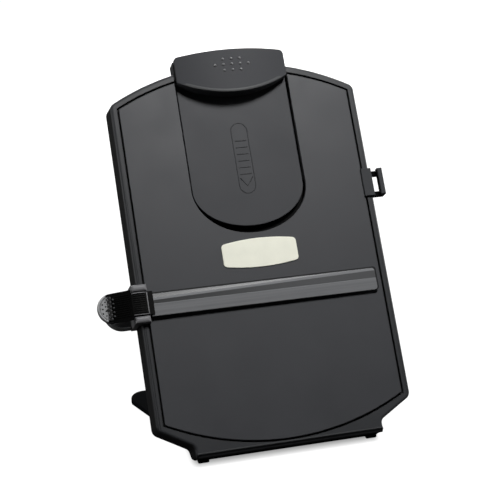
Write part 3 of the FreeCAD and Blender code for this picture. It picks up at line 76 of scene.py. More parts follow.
def board_matrix(s, t, d, turn=0.0):
    """A frame in metres on the board: its X runs across, turned by an angle, and its Z out."""
    c, n = math.cos(turn), math.sin(turn)
    x = ACROSS * c + UP * n
    y = UP * c - ACROSS * n
    place = Matrix((x, y, OUT)).transposed().to_4x4()
    place.translation = at(s, t, d)
    return place


# ---------------------------------------------------------------- shader nodes
# The owner of a node is a material or the world.

NOISE_RANGE = (0.3, 0.7)     # where most of a noise's values lie
MIX_COLOURS = (6, 7)         # a Mix node's inputs for colours, after those for its other kinds
MIX_RESULT = 2
BEVEL_SAMPLES = 4
EDGE_GAIN = 3.0
PLAIN_SPECULAR = 0.5


def new_material(name):
    material = bpy.data.materials.new(name)
    material.use_nodes = True
    nodes = material.node_tree.nodes
    nodes.clear()
    output = nodes.new("ShaderNodeOutputMaterial")
    shader = nodes.new("ShaderNodeBsdfPrincipled")
    material.node_tree.links.new(shader.outputs[0], output.inputs[0])
    return material, shader


def node(owner, kind, links=(), **values):
    """A node with its settings or socket values, linked from other nodes' sockets."""
    made = owner.node_tree.nodes.new(kind)
    for key, value in values.items():
        if hasattr(made, key):
            setattr(made, key, value)
        else:
            made.inputs[key.replace("_", " ")].default_value = value
    for socket, source in links:
        owner.node_tree.links.new(source, made.inputs[socket])
    return made


def feed(owner, socket, value):
    """Links a socket from another one, or sets it to a constant."""
    if isinstance(value, bpy.types.NodeSocket):
        owner.node_tree.links.new(value, socket)
    else:
        socket.default_value = value


def object_point(owner):
    return node(owner, "ShaderNodeTexCoord").outputs["Object"]


def stretched(owner, point, scale):
    return node(owner, "ShaderNodeMapping", [("Vector", point)], Scale=scale).outputs[0]


def noise(owner, point, scale, detail=2.0, roughness=0.5):
    """Noise with that many cells per metre."""
    made = node(owner, "ShaderNodeTexNoise", [("Vector", point)], Scale=scale, Detail=detail,
                Roughness=roughness)
    return made.outputs[0]


def math_node(owner, operation, first, second=0.0, clamp=False):
    made = node(owner, "ShaderNodeMath", operation=operation, use_clamp=clamp)
    feed(owner, made.inputs[0], first)
    feed(owner, made.inputs[1], second)
    return made.outputs[0]


def vector_node(owner, operation, first, second):
    made = node(owner, "ShaderNodeVectorMath", operation=operation)
    feed(owner, made.inputs[0], first)
    feed(owner, made.inputs[1], second)
    return made.outputs


def map_range(owner, value, source, target=(0.0, 1.0), kind="SMOOTHSTEP"):
    """A value laid from one range onto another, and held at its ends."""
    made = node(owner, "ShaderNodeMapRange", [("Value", value)], interpolation_type=kind)
    for name, level in zip(("From Min", "From Max", "To Min", "To Max"), source + target):
        made.inputs[name].default_value = level
    return made.outputs[0]


def spread(owner, pattern, low, high):
    """A noise laid out between two values."""
    return map_range(owner, pattern, NOISE_RANGE, (low, high), "LINEAR")


def length(owner, first, second):
    """The length of a vector with these two parts."""
    squares = [math_node(owner, "POWER", part, 2.0) for part in (first, second)]
    return math_node(owner, "SQRT", math_node(owner, "ADD", *squares))


def reach_along(owner, direction, origin):
    """How far a point on the object lies from an origin along a direction, in metres."""
    offset = vector_node(owner, "SUBTRACT", object_point(owner), origin)[0]
    return vector_node(owner, "DOT_PRODUCT", offset, direction)["Value"]


def along(owner, direction, origin, low, high):
    """0 to 1 between two distances in mm along a direction, on the object itself."""
    return map_range(owner, reach_along(owner, direction, origin), (low * MM, high * MM))


def blend_colours(owner, factor, first, second):
    made = node(owner, "ShaderNodeMix", [(0, factor)], data_type="RGBA")
    for index, value in zip(MIX_COLOURS, (first, second)):
        feed(owner, made.inputs[index], value)
    return made.outputs[MIX_RESULT]


def scaled(colour, factor):
    return tuple(min(1.0, channel * factor) for channel in colour[:3]) + (1.0,)


def linear(level, tint=(0, 0, 0)):
    """An sRGB grey level from 0 to 255, with a tint in the same units, as a linear colour."""
    colour = []
    for shift in tint:
        value = (level + shift) / 255.0
        colour.append(value / 12.92 if value <= 0.04045 else ((value + 0.055) / 1.055) ** 2.4)
    return tuple(colour) + (1.0,)


def mottled(owner, colour, pattern, dark, light):
    """A colour that wanders between two factors of itself."""
    wander = spread(owner, pattern, 0, 1)
    return blend_colours(owner, wander, scaled(colour, dark), scaled(colour, light))


def speckled(owner, body, colour, pattern, amount, factor):
    """A body with up to that amount of another shade of the colour over it."""
    return blend_colours(owner, spread(owner, pattern, 0, amount), body, scaled(colour, factor))


def soft_normal(owner, radius):
    """The surface's normal with its edges rounded by a radius in mm."""
    return node(owner, "ShaderNodeBevel", samples=BEVEL_SAMPLES, Radius=radius * MM).outputs[0]


def edge_mask(owner, softened):
    """Near 1 on sharp edges, where the softened normal turns away from the true one."""
    true = node(owner, "ShaderNodeNewGeometry").outputs["Normal"]
    agree = vector_node(owner, "DOT_PRODUCT", softened, true)["Value"]
    turn = math_node(owner, "SUBTRACT", 1.0, agree)
    return math_node(owner, "MULTIPLY", turn, EDGE_GAIN, clamp=True)


def coat(material, shader, colour, roughness, specular=PLAIN_SPECULAR):
    links = material.node_tree.links
    links.new(colour, shader.inputs["Base Color"])
    links.new(roughness, shader.inputs["Roughness"])
    shader.inputs["Specular IOR Level"].default_value = specular


def relief(material, shader, height, normal, strength, depth):
    """A fine pattern of that depth in mm, on top of a normal."""
    bump = node(material, "ShaderNodeBump", [("Height", height), ("Normal", normal)],
                Strength=strength, Distance=depth * MM)
    material.node_tree.links.new(bump.outputs[0], shader.inputs["Normal"])


# ---------------------------------------------------------------- materials
# Clouds, streaks and the like are scales of noise, in cells per metre.

PLASTIC_CLOUD = 28.0
PLASTIC_RUB = 260.0
PLASTIC_RUBBED = (0.2, 1.0)  # how much of an edge's wear shows, from place to place
PLASTIC_GRAIN = 0.35         # the grain's size and depth, mm
PLASTIC_GRAIN_DEPTH = 0.012
GRAIN_GLOSS = (-0.05, 0.05)  # what the grain and the cloudiness add to the roughness
CLOUD_GLOSS = (-0.03, 0.03)
GROOVE_SHADE_GAIN = 1.6
FLANK_FADE = 0.4
REAR_CLOUD = 1.1
REAR_DULLER = 0.3

BAR_STREAKS = (3.0, 520.0, 520.0)
BAR_CLOUD = 40.0
BAR_GLOSS = (0.3, 0.38)
BAR_FADE = (-110, 60)        # where across the board the darker band and the painted highlight strip change
BAR_DARK_BAND = (0.24, 0.5)      # their shades at those two places
BAR_PAINTED_HIGHLIGHT = (1.45, 1.4)
BAR_LINES = ((116.4, 0.0, 0.3), (121.8, 0.017, 0.35), (124.17, 0.0187, 0.35))
#     lower lines of the darker band, the painted highlight strip and the darker bevel: t at the
#     middle, rise, softness
BAR_MIDDLE = 115.4           # the outline that the painted shade line along the bar's edge follows
BAR_HALF = 12.4
BAR_END = 113.6
BAR_CORNER = 4.5
BAR_EDGE = 1.8               # that line's width
BAR_EDGE_SOFT = 0.6
BAR_EDGE_SHADE = 0.12
BAR_EDGE_DULLER = 0.6

RUBBER_PEBBLE = 2200.0
RUBBER_CLOUD = 60.0
RUBBER_GLOSS = (0.62, 0.82)
TIP_HIGHLIGHT_FADE = (155.5, 159.0)    # how far from the middle the painted highlight on the thumb pad sets in
TIP_HIGHLIGHT_PATCHES = 500.0
TIP_HIGHLIGHT_PATCHY = (-0.5, 0.5)

METAL_DRAWN = (30.0, 2200.0, 2200.0)
METAL_ROLLED = (400.0, 400.0, 400.0)
METAL_CLOUD = 300.0
METAL_GLOSS = (-0.06, 0.1)   # what the lines add to the roughness

BADGE_GRAIN = 1400.0
BADGE_CLOUD = 90.0
BADGE_GLOSS = (0.38, 0.5)


def moulded(name, colour, roughness=0.5, wear=1.25, round_edge=0.45, specular=0.4, rear=None,
            groove_shade=None, flank_shade=None):
    """Moulded plastic: a fine spark-eroded grain, slight cloudiness and rubbed edges.

    rear is (factor, low, high): painted shade, the colour behind the face, and the depths in mm
    where it changes.
    seam is (factor, width): painted shade, a darker line that wide in mm beside sharp edges and
    along grooves.
    flank is (factor, half): painted shade, the colour of the side walls, further than half from the
    middle in mm.
    """
    material, shader = new_material(name)
    point = object_point(material)
    cloud = noise(material, point, PLASTIC_CLOUD, detail=3.0)
    fine = noise(material, point, 1.0 / (PLASTIC_GRAIN * MM), roughness=0.6)
    body = mottled(material, colour, cloud, dark=0.95, light=1.05)
    body = speckled(material, body, colour, fine, amount=0.25, factor=1.25)
    softened = soft_normal(material, round_edge)
    rub = noise(material, point, PLASTIC_RUB, detail=4.0, roughness=0.7)
    rubbed = spread(material, rub, *PLASTIC_RUBBED)
    worn = math_node(material, "MULTIPLY", edge_mask(material, softened), rubbed)
    body = blend_colours(material, worn, body, scaled(colour, wear))
    # painted shade: the colour darkens in a band beside sharp edges and along grooves
    if groove_shade:
        factor, width = groove_shade
        groove_shade_mask = edge_mask(material, soft_normal(material, width))
        groove_shade_mask = math_node(material, "MULTIPLY", groove_shade_mask, GROOVE_SHADE_GAIN, clamp=True)
        body = blend_colours(material, groove_shade_mask, body, scaled(colour, factor))
    # painted shade: the side walls are darkened, as they turn away from the light
    if flank_shade:
        factor, half = flank_shade
        for direction in (ACROSS, -ACROSS):
            side = along(material, direction, at(0, 0), half, half + FLANK_FADE)
            body = blend_colours(material, side, body, scaled(colour, factor))
    uneven = [spread(material, fine, *GRAIN_GLOSS), spread(material, cloud, *CLOUD_GLOSS)]
    gloss = math_node(material, "ADD", *uneven)
    gloss = math_node(material, "ADD", gloss, roughness, clamp=True)
    # painted shade: the walls behind the face are darkened where they turn away from the light;
    # they are also duller
    if rear:
        factor, low, high = rear
        front = along(material, OUT, at(0, 0), low, high)
        painted_rear_shade = mottled(material, colour, cloud, dark=factor, light=factor * REAR_CLOUD)
        body = blend_colours(material, front, painted_rear_shade, body)
        behind = math_node(material, "SUBTRACT", 1.0, front)
        duller = math_node(material, "MULTIPLY", behind, REAR_DULLER)
        gloss = math_node(material, "ADD", gloss, duller, clamp=True)
    coat(material, shader, body, gloss, specular)
    relief(material, shader, fine, softened, strength=0.35, depth=PLASTIC_GRAIN_DEPTH)
    return material


def painted_edge_shade(owner):
    """1 in a thin line along the bar's long edges and round the corners of its free end, where
    shade is painted.
    """
    middle = at(0, BAR_MIDDLE)
    across = reach_along(owner, ACROSS, middle)
    up = math_node(owner, "ABSOLUTE", reach_along(owner, UP, middle))
    beyond = []
    for away, reach in ((across, BAR_END), (up, BAR_HALF)):
        past = math_node(owner, "SUBTRACT", away, (reach - BAR_CORNER) * MM)
        beyond.append(math_node(owner, "MAXIMUM", past))
    inner = BAR_CORNER - BAR_EDGE
    return map_range(owner, length(owner, *beyond), (inner * MM, (inner + BAR_EDGE_SOFT) * MM))


def smoked(name, colour):
    """A semi-gloss strip of smoked plastic: a frosted band, a darker one, a painted highlight
    strip, a darker bevel.
    """
    material, shader = new_material(name)
    point = object_point(material)
    drawn = stretched(material, point, BAR_STREAKS)
    streak = noise(material, drawn, 1.0, detail=4.0, roughness=0.6)
    body = mottled(material, colour, streak, dark=0.82, light=1.14)
    cloud = noise(material, point, BAR_CLOUD)
    body = speckled(material, body, colour, cloud, amount=0.4, factor=1.12)
    # a darker band, a painted highlight strip and a darker bevel across the bar, fading along it
    fade = along(material, ACROSS, at(0, 0), *BAR_FADE)
    clear = blend_colours(material, fade, *[scaled(colour, factor) for factor in BAR_DARK_BAND])
    pale = blend_colours(material, fade, *[scaled(colour, factor) for factor in BAR_PAINTED_HIGHLIGHT])
    for (middle, rise, soft), shade in zip(BAR_LINES, (clear, pale, clear)):
        above = along(material, UP - ACROSS * rise, at(0, middle), -soft, soft)
        body = blend_colours(material, above, body, shade)
    # painted shade: a dark, duller line along the bar's long edges and round its free end's corners
    edge = painted_edge_shade(material)
    body = blend_colours(material, edge, body, scaled(colour, BAR_EDGE_SHADE))
    duller = math_node(material, "MULTIPLY", edge, BAR_EDGE_DULLER)
    gloss = math_node(material, "ADD", spread(material, streak, *BAR_GLOSS), duller)
    coat(material, shader, body, gloss, specular=0.22)
    relief(material, shader, streak, soft_normal(material, 0.4), strength=0.12, depth=0.01)
    return material


def rubber(name, colour, tip=None):
    """Soft rubber with a pebbled skin. A tip colour shows on the thumb pad's outer end, in patches:
    a painted highlight.
    """
    material, shader = new_material(name)
    point = object_point(material)
    fine = noise(material, point, RUBBER_PEBBLE, detail=3.0, roughness=0.7)
    cloud = noise(material, point, RUBBER_CLOUD)
    body = mottled(material, colour, cloud, dark=0.85, light=1.25)
    # painted highlight: the pad's outer end turns pale, where it curls up to the light
    if tip:
        outer = along(material, -ACROSS, at(0, 0), *TIP_HIGHLIGHT_FADE)
        patches = spread(material, noise(material, point, TIP_HIGHLIGHT_PATCHES), *TIP_HIGHLIGHT_PATCHY)
        patchy = math_node(material, "ADD", outer, patches)
        body = blend_colours(material, spread(material, patchy, 0, 1), body, tip)
    coat(material, shader, body, spread(material, fine, *RUBBER_GLOSS), specular=0.2)
    relief(material, shader, fine, soft_normal(material, 0.5), strength=0.5, depth=0.03)
    return material


def metal(name, colour, roughness, scratch=METAL_DRAWN):
    """Plated, turned or rolled steel with fine lines."""
    material, shader = new_material(name)
    point = object_point(material)
    drawn = stretched(material, point, scratch)
    lines = noise(material, drawn, 1.0, detail=3.0, roughness=0.6)
    cloud = noise(material, point, METAL_CLOUD, detail=3.0)
    body = mottled(material, colour, cloud, dark=0.8, light=1.08)
    gloss = spread(material, lines, *[roughness + shift for shift in METAL_GLOSS])
    coat(material, shader, body, gloss)
    shader.inputs["Metallic"].default_value = 1.0
    relief(material, shader, lines, soft_normal(material, 0.25), strength=0.15, depth=0.01)
    return material


def enamel(name, colour):
    """A cream badge: a printed film with a faint paper grain."""
    material, shader = new_material(name)
    point = object_point(material)
    fine = noise(material, point, BADGE_GRAIN, detail=4.0, roughness=0.7)
    cloud = noise(material, point, BADGE_CLOUD)
    body = mottled(material, colour, cloud, dark=0.965, light=1.02)
    body = speckled(material, body, colour, fine, amount=0.3, factor=0.9)
    coat(material, shader, body, spread(material, fine, *BADGE_GLOSS))
    relief(material, shader, fine, soft_normal(material, 0.4), strength=0.2, depth=0.01)
    return material


BLUISH = (0, 0, 2)           # tints, added to a grey's red, green and blue
BLUER = (0, 0, 3)
COOL = (0, 1, 2)
COOLER = (0, 1, 3)
COOLEST = (0, 1, 4)
CREAM = (2, 2, -14)

MATERIALS = {
    # painted shade on the frame's walls behind its face
    "frame": moulded("frame_plastic", linear(51, COOLER), roughness=0.42, specular=0.15,
                     rear=(0.12, -3.6, -1.2), groove_shade=(0.12, 1.0)),
    # the frame, panel and slide carry painted shade along their grooves and sharp edges
    "panel": moulded("panel_plastic", linear(52, COOLEST), specular=0.26, groove_shade=(0.08, 1.3)),
    "slide": moulded("slide_plastic", linear(51, COOLEST), roughness=0.55, specular=0.22,
                     groove_shade=(0.05, 1.5)),
    "mark": moulded("mark_plastic", linear(32, COOLEST), specular=0.25, round_edge=0.1),
    # painted shade on the paper clip's side walls
    "clip": moulded("clip_plastic", linear(53, COOLEST), roughness=0.6, specular=0.2,
                    flank_shade=(0.2, 56.7)),
    "clip_edge": moulded("clip_edge_plastic", linear(62, COOL), specular=0.3),
    # painted highlight: the clip's dots are much lighter than the clip, for the light they catch
    "dot": moulded("dot_painted_highlight", linear(100, COOL), roughness=0.32, specular=0.5,
                   round_edge=0.05),
    "carriage": moulded("carriage_plastic", linear(104, BLUISH), roughness=0.45, specular=0.3),
    # painted light: a pale copy of the dark plastic, for the thumb end's rim and the finger rest's
    # bead
    "thumb_edge": moulded("thumb_edge_painted_light", linear(145, COOL), roughness=0.4, specular=0.3),
    "lever": moulded("lever_plastic", linear(6), roughness=0.45, specular=0.06, wear=1.8),
    # painted shade: near-black for the buttons in the thumb pad's dimples
    "pit": moulded("pit_painted_shade", linear(5), roughness=0.7, specular=0.03),
    # painted shade on the pen holder behind its front plate, its arms among them
    "pen": moulded("pen_plastic", linear(60, COOLER), roughness=0.55, specular=0.04,
                   rear=(0.05, -6.8, -2.5)),
    "base": moulded("base_plastic", linear(24, COOL), roughness=0.8, specular=0.0),
    "inner": moulded("inner_plastic", linear(58, COOL), roughness=0.55, specular=0.25),
    "prop": moulded("prop_plastic", linear(46, COOL), roughness=0.6, specular=0.1),
    # painted shade: the tray behind the sliding panel is near-black, for the deep shade in the gap
    # round the panel
    "tray": moulded("tray_painted_shade", linear(8), roughness=0.7, specular=0.06),
    "bar": smoked("bar_smoked", linear(102, COOLER)),
    "badge": enamel("badge_cream", linear(228, CREAM)),
    "rubber": rubber("foot_rubber", linear(26)),
    # the tip colour is a painted highlight on the thumb pad's outer end
    "grip": rubber("grip_rubber", linear(24), tip=linear(142, COOL)),
    "steel": metal("zinc_steel", linear(190, BLUER), roughness=0.3),
    "dark_steel": metal("black_steel", linear(60, BLUISH), roughness=0.35),
    "ballast": metal("ballast_steel", linear(130), roughness=0.45, scratch=METAL_ROLLED),
}

NODE_LOOKS = {
    "frame": ("board_frame",),
    "panel": ("front_panel",),
    "slide": ("slide_panel", "slide_head"),
    "clip": ("clip_lever", "clip_mount"),
    "carriage": ("guide_carriage",),
    "lever": ("guide_lever",),
    "pen": ("pen_clip",),
    "base": ("base_plate",),
    "prop": ("prop_leg",),
    "inner": ("back_cover", "slide_keepers", "prop_rack"),
    "tray": ("slide_tray",),
    "bar": ("guide_bar",),
    "badge": ("badge_plate",),
    "rubber": ("front_feet", "rear_feet", "carriage_pad", "clip_pad"),
    "grip": ("thumb_pad",),
    "steel": ("clip_pin", "clip_spring", "hinge_rod", "prop_rod", "prop_bar"),
    "dark_steel": ("cover_screws", "tray_screws", "ballast_screws", "guide_pin", "guide_spring"),
    "ballast": ("ballast_plate",),
}


def dress_nodes():
    """Gives every CAD node the material of its look."""
    for look, names in NODE_LOOKS.items():
        for name in names:
            for slot in frame["nodes"][name].material_slots:
                slot.material = MATERIALS[look]


# ---------------------------------------------------------------- meshes

SHARP_ANGLE = 35             # edges that turn more than this stay sharp, degrees
SINK = 0.3                   # how far a trim piece's foot reaches into what it sits on
DOME_SIDES = 20
DOME_STEPS = 5
RIDGE_STEPS = 6
ARC_STEPS = 24


def linked_object(name, data):
    made = bpy.data.objects.new(name, data)
    bpy.context.scene.collection.objects.link(made)
    return made


def mesh_object(name, form, look):
    """An object from a bmesh, shaded smooth except over sharp edges."""
    bmesh.ops.recalc_face_normals(form, faces=form.faces)
    mesh = bpy.data.meshes.new(name)
    form.to_mesh(mesh)
    form.free()
    mesh.materials.append(MATERIALS[look])
    mesh.shade_smooth()
    mesh.set_sharp_from_angle(angle=math.radians(SHARP_ANGLE))
    return linked_object(name, mesh)


def join_rings(form, first, second):
    count = len(first)
    for i in range(count):
        j = (i + 1) % count
        form.faces.new((first[i], first[j], second[j], second[i]))


def loft(form, rings, closed=False):
    """Rings of points joined into one skin, capped at both ends or closed into a loop."""
    made = [[form.verts.new(point) for point in ring] for ring in rings]
    for first, second in zip(made, made[1:]):
        join_rings(form, first, second)
    if closed:
        join_rings(form, made[-1], made[0])
    else:
        form.faces.new(list(reversed(made[0])))
        form.faces.new(made[-1])


def circle(radius, count):
    angles = [2 * math.pi * i / count for i in range(count)]
    return [(radius * math.cos(angle), radius * math.sin(angle)) for angle in angles]


def dome(form, place, radius, height, sink=SINK, sides=DOME_SIDES):
    """A raised round dot on a surface, with its foot sunk a little."""
    rings = [[place @ Vector((x * MM, y * MM, -sink * MM)) for x, y in circle(radius, sides)]]
    for i in range(DOME_STEPS):
        angle = math.pi / 2 * i / DOME_STEPS
        ring = circle(radius * math.cos(angle), sides)
        z = height * math.sin(angle) * MM
        rings.append([place @ Vector((x * MM, y * MM, z)) for x, y in ring])
    loft(form, rings)


def ridge_section(half, height):
    """Half-round section points from one foot over the top to the other, as (across, out)."""
    points = [(half, -SINK)]
    for i in range(RIDGE_STEPS + 1):
        angle = math.pi * i / RIDGE_STEPS
        points.append((half * math.cos(angle), height * math.sin(angle)))
    points.append((-half, -SINK))
    return points


def ridge(form, path, half, height, closed=False):
    """A half-round bead along a path of board points (s, t, d)."""
    count = len(path)
    section = ridge_section(half, height)
    rings = []
    for i in range(count):
        before = Vector(path[(i - 1) % count] if closed or i else path[i])
        after = Vector(path[(i + 1) % count] if closed or i < count - 1 else path[i])
        run = (after - before).normalized()
        side = Vector((-run.y, run.x, 0)).normalized()
        s, t, d = path[i]
        rings.append([at(s + side.x * a, t + side.y * a, d + b) for a, b in section])
    loft(form, rings, closed)


# ---------------------------------------------------------------- paper clip's dots and lower lip

DOT_ROWS = ((354.8, 3), (349.1, 5), (342.9, 3))    # t and how many
DOT_PITCH = 8.65
DOT_R = 1.45
DOT_HEIGHT = 1.2

LIP_SECTION = ((3.7, -0.2), (3.0, 0.55), (1.4, 0.65), (0.4, 0.3), (0.0, -0.9), (1.6, -1.6))
#   points as (in from the clip's edge, out of its face)
LIP_END = 54.0
LIP_STEPS = 48
LIP_RUN_OUT = 6.0            # the length over which it sinks at each end


def clip_crown(s):
    """How far out the clip's crowned face is at a place across the board."""
    return CLIP_FRONT - (CLIP_CROWN_R - math.sqrt(CLIP_CROWN_R**2 - s * s))


def clip_dots():
    form = bmesh.new()
    for t, count in DOT_ROWS:
        for i in range(count):
            s = (i - (count - 1) / 2) * DOT_PITCH
            dome(form, board_matrix(s, t, clip_crown(s)), DOT_R, DOT_HEIGHT)
    dots = mesh_object("clip_dots", form, "dot")
    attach(dots, "clip")


def clip_lip():
    """A low raised lip along the clip's curved lower edge, as a swept section."""
    form = bmesh.new()
    radius = (CLIP_HALF**2 + CLIP_BOTTOM_SAG**2) / (2 * CLIP_BOTTOM_SAG)
    centre_t = CLIP_BOTTOM + radius
    rings = []
    for i in range(LIP_STEPS + 1):
        s = LIP_END * (2 * i / LIP_STEPS - 1)
        edge = centre_t - math.sqrt(radius**2 - s * s)
        inwards = (-s / radius, (centre_t - edge) / radius)
        crown = clip_crown(s)
        stands = min(1.0, (LIP_END - abs(s)) / LIP_RUN_OUT)
        ring = []
        for reach, out in LIP_SECTION:
            rise = out * stands - SINK * (1 - stands) if out > 0 else out
            ring.append(at(s + inwards[0] * reach, edge + inwards[1] * reach, crown + rise))
        rings.append(ring)
    loft(form, rings)
    lip = mesh_object("clip_lip", form, "clip_edge")
    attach(lip, "clip")


# ---------------------------------------------------------------- raised mark on the sliding panel

MARK_HALF = 8.3
MARK_T = (218.0, 291.6)
MARK_RIBS = (273.0, 266.0, 259.0, 252.0, 245.1, 238.0)
MARK_RIB_HALF = 5.8
MARK_ARROW = ((-6.3, 234.5), (0.0, 225.6), (6.3, 234.5))
OUTLINE_BEAD = (0.45, 0.32)  # half its width, and its height
RIB_BEAD = (0.55, 0.4)
ARROW_BEAD = (0.6, 0.4)
STADIUM_STEPS = 14


def stadium(half, low, high):
    """A long outline with round ends, as points (s, t)."""
    points = []
    for centre, start in ((high - half, 0.0), (low + half, math.pi)):
        for i in range(STADIUM_STEPS + 1):
            angle = start + math.pi * i / STADIUM_STEPS
            points.append((half * math.cos(angle), centre + half * math.sin(angle)))
    return points


def on_slide(points):
    """Points (s, t) on the sliding panel's face, as board points."""
    return [(s, t, SLIDE_FACE) for s, t in points]


def slide_mark():
    """A long outline with ribs and an arrow, which tells which way the panel slides."""
    form = bmesh.new()
    ridge(form, on_slide(stadium(MARK_HALF, *MARK_T)), *OUTLINE_BEAD, closed=True)
    for t in MARK_RIBS:
        ridge(form, on_slide(((-MARK_RIB_HALF, t), (MARK_RIB_HALF, t))), *RIB_BEAD)
    ridge(form, on_slide(MARK_ARROW), *ARROW_BEAD)
    mark = mesh_object("slide_mark", form, "mark")
    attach(mark, "slide")


# ---------------------------------------------------------------- guide lever and carriage trim

LEVER_SKIN = ((-166.5, 0.1), (-159.6, -1.3), (-152.6, -0.7), (-143.6, 2.8), (-133.6, 6.9),
              (-125.6, 7.7), (-121.6, 6.9), (-113.1, 6.7))    # s and d of its upper skin's bends
LEVER_RIB_SPANS = ((-151.0, -135.4), (-132.4, -120.6))
LEVER_RIB_PITCH = 2.05
LEVER_RIB_COUNT = 11
LEVER_RIB_BEAD = (0.55, 0.5)
FRAME_LINE = ((-133.0, 128.0), (-118.6, 128.0), (-118.6, 107.0), (-133.0, 107.0))
FRAME_BEAD = (0.6, 0.55)
THUMB_RIM_TURN = 66.0        # how far it reaches each way from the tip, degrees
THUMB_RIM_INSET = 1.25
THUMB_RIM_BEAD = (1.2, 1.5)

PAD_TIP = -163.9
PAD_THICK = 1.2
PAD_DIP = 0.3                # how far below the pad's skin its pits and knobs start
PAD_DOME_R = 0.95
PIT_ROWS = ((2.6, 3), (5.3, 4))                    # distance from the pad's tip, and how many
PIT_PITCH = 4.4
PIT_HEIGHT = 0.2
PIT_SINK = 0.2
BUMP_ROWS = ((8.1, 5), (10.6, 6), (13.1, 5))
BUMP_PITCH = 4.1
BUMP_HEIGHT = 0.7
BUMP_SIDES = 16

REST_FRONT = -22.35
REST_LEFT = -158.0
REST_RIGHT = -134.5
REST_HALF = 18.2
REST_BEAD = (1.1, 1.0)


def lever_skin(s):
    """How far out the lever's upper skin is at a place across the board."""
    for (s0, d0), (s1, d1) in zip(LEVER_SKIN, LEVER_SKIN[1:]):
        if s <= s1:
            return d0 + (d1 - d0) * (s - s0) / (s1 - s0)
    return LEVER_SKIN[-1][1]


def on_lever(points):
    """A path over the lever's skin, with a point at each of its bends."""
    path = []
    for (s0, t0), (s1, t1) in zip(points, points[1:]):
        bends = [s for s, _ in LEVER_SKIN if min(s0, s1) < s < max(s0, s1)]
        if s1 < s0:
            bends.reverse()
        path.append((s0, t0, lever_skin(s0)))
        for s in bends:
            path.append((s, t0 + (t1 - t0) * (s - s0) / (s1 - s0), lever_skin(s)))
    path.append((points[-1][0], points[-1][1], lever_skin(points[-1][0])))
    return path


def lever_ribs():
    form = bmesh.new()
    for low, high in LEVER_RIB_SPANS:
        for i in range(LEVER_RIB_COUNT):
            t = GUIDE_T + (i - (LEVER_RIB_COUNT - 1) / 2) * LEVER_RIB_PITCH
            ridge(form, on_lever(((low, t), (high, t))), *LEVER_RIB_BEAD)
    ribs = mesh_object("lever_ribs", form, "lever")
    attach(ribs, "guide")


def lever_line():
    """A thin raised frame round the inner end of the lever."""
    form = bmesh.new()
    ridge(form, on_lever(FRAME_LINE), *FRAME_BEAD)
    line = mesh_object("lever_line", form, "carriage")
    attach(line, "guide")


def thumb_rim():
    """A rounded rim round the thumb end's tip, pale: a painted highlight."""
    form = bmesh.new()
    radius = THUMB_R - THUMB_RIM_INSET
    path = []
    for i in range(ARC_STEPS + 1):
        angle = math.radians(180 + THUMB_RIM_TURN * (2 * i / ARC_STEPS - 1))
        s = THUMB_S + radius * math.cos(angle)
        path.append((s, GUIDE_T + radius * math.sin(angle), lever_skin(s)))
    ridge(form, path, *THUMB_RIM_BEAD)
    rim = mesh_object("thumb_rim", form, "thumb_edge")
    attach(rim, "guide")


def pad_domes(form, rows, pitch, height, sink=SINK, sides=DOME_SIDES):
    """Rows of domes on the thumb pad."""
    for reach, count in rows:
        s = PAD_TIP + reach
        d = lever_skin(s) + PAD_THICK - PAD_DIP
        for i in range(count):
            t = GUIDE_T + (i - (count - 1) / 2) * pitch
            dome(form, board_matrix(s, t, d), PAD_DOME_R, height, sink, sides)


def thumb_pits():
    """Dark buttons at the bottom of the thumb pad's dimples: painted shade in their hollows."""
    form = bmesh.new()
    pad_domes(form, PIT_ROWS, PIT_PITCH, PIT_HEIGHT, sink=PIT_SINK)
    pits = mesh_object("thumb_pits", form, "pit")
    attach(pits, "guide")


def thumb_bumps():
    """Small pale knobs on the dark part of the thumb pad."""
    form = bmesh.new()
    pad_domes(form, BUMP_ROWS, BUMP_PITCH, BUMP_HEIGHT, sides=BUMP_SIDES)
    bumps = mesh_object("thumb_bumps", form, "clip_edge")
    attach(bumps, "guide")


def rest_rim():
    """A rounded bead on the finger rest's flange, round the dark hollow, pale: painted light where
    the lever shades it.
    """
    form = bmesh.new()
    half = REST_HALF - REST_BEAD[0]
    bend = REST_LEFT + REST_HALF
    path = [(REST_RIGHT, GUIDE_T + half, REST_FRONT)]
    for i in range(ARC_STEPS + 1):
        angle = math.radians(90 + 180 * i / ARC_STEPS)
        s = bend + half * math.cos(angle)
        path.append((s, GUIDE_T + half * math.sin(angle), REST_FRONT))
    path.append((REST_RIGHT, GUIDE_T - half, REST_FRONT))
    ridge(form, path, *REST_BEAD)
    rim = mesh_object("rest_rim", form, "thumb_edge")
    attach(rim, "carriage")


# ---------------------------------------------------------------- back cover's screws

SCREW_S = 120.6
SCREW_T = (18.0, 160.0, 302.0)
SCREW_RINGS = ((1.1, -14.9), (1.4, -15.3), (1.4, -23.6), (2.8, -23.6), (2.8, -24.3), (2.4, -24.8))
#   radius and d, from the shank's tip to the head's face
SCREW_TURN = 0.5             # how far the screws are turned, radians
SCREW_TURN_PER_ROW = 0.9
SCREW_TURN_PER_SIDE = 0.7
CROSS_HALF = 0.36
CROSS_REACH = 1.55
CROSS_FLOOR = -23.95
CROSS_TAPER = 0.8
CROSS_PARTS = 3              # how many parts each edge of the cross is split into


def cross_outline(half, reach):
    """A plus sign's outline, with points along each of its edges."""
    corners = []
    for i in range(4):
        c, n = round(math.cos(math.pi / 2 * i)), round(math.sin(math.pi / 2 * i))
        for x, y in ((reach, -half), (reach, half), (half, half)):
            corners.append((x * c - y * n, x * n + y * c))
    points = []
    for (x0, y0), (x1, y1) in zip(corners, corners[1:] + corners[:1]):
        for i in range(CROSS_PARTS):
            points.append((x0 + (x1 - x0) * i / CROSS_PARTS, y0 + (y1 - y0) * i / CROSS_PARTS))
    return points


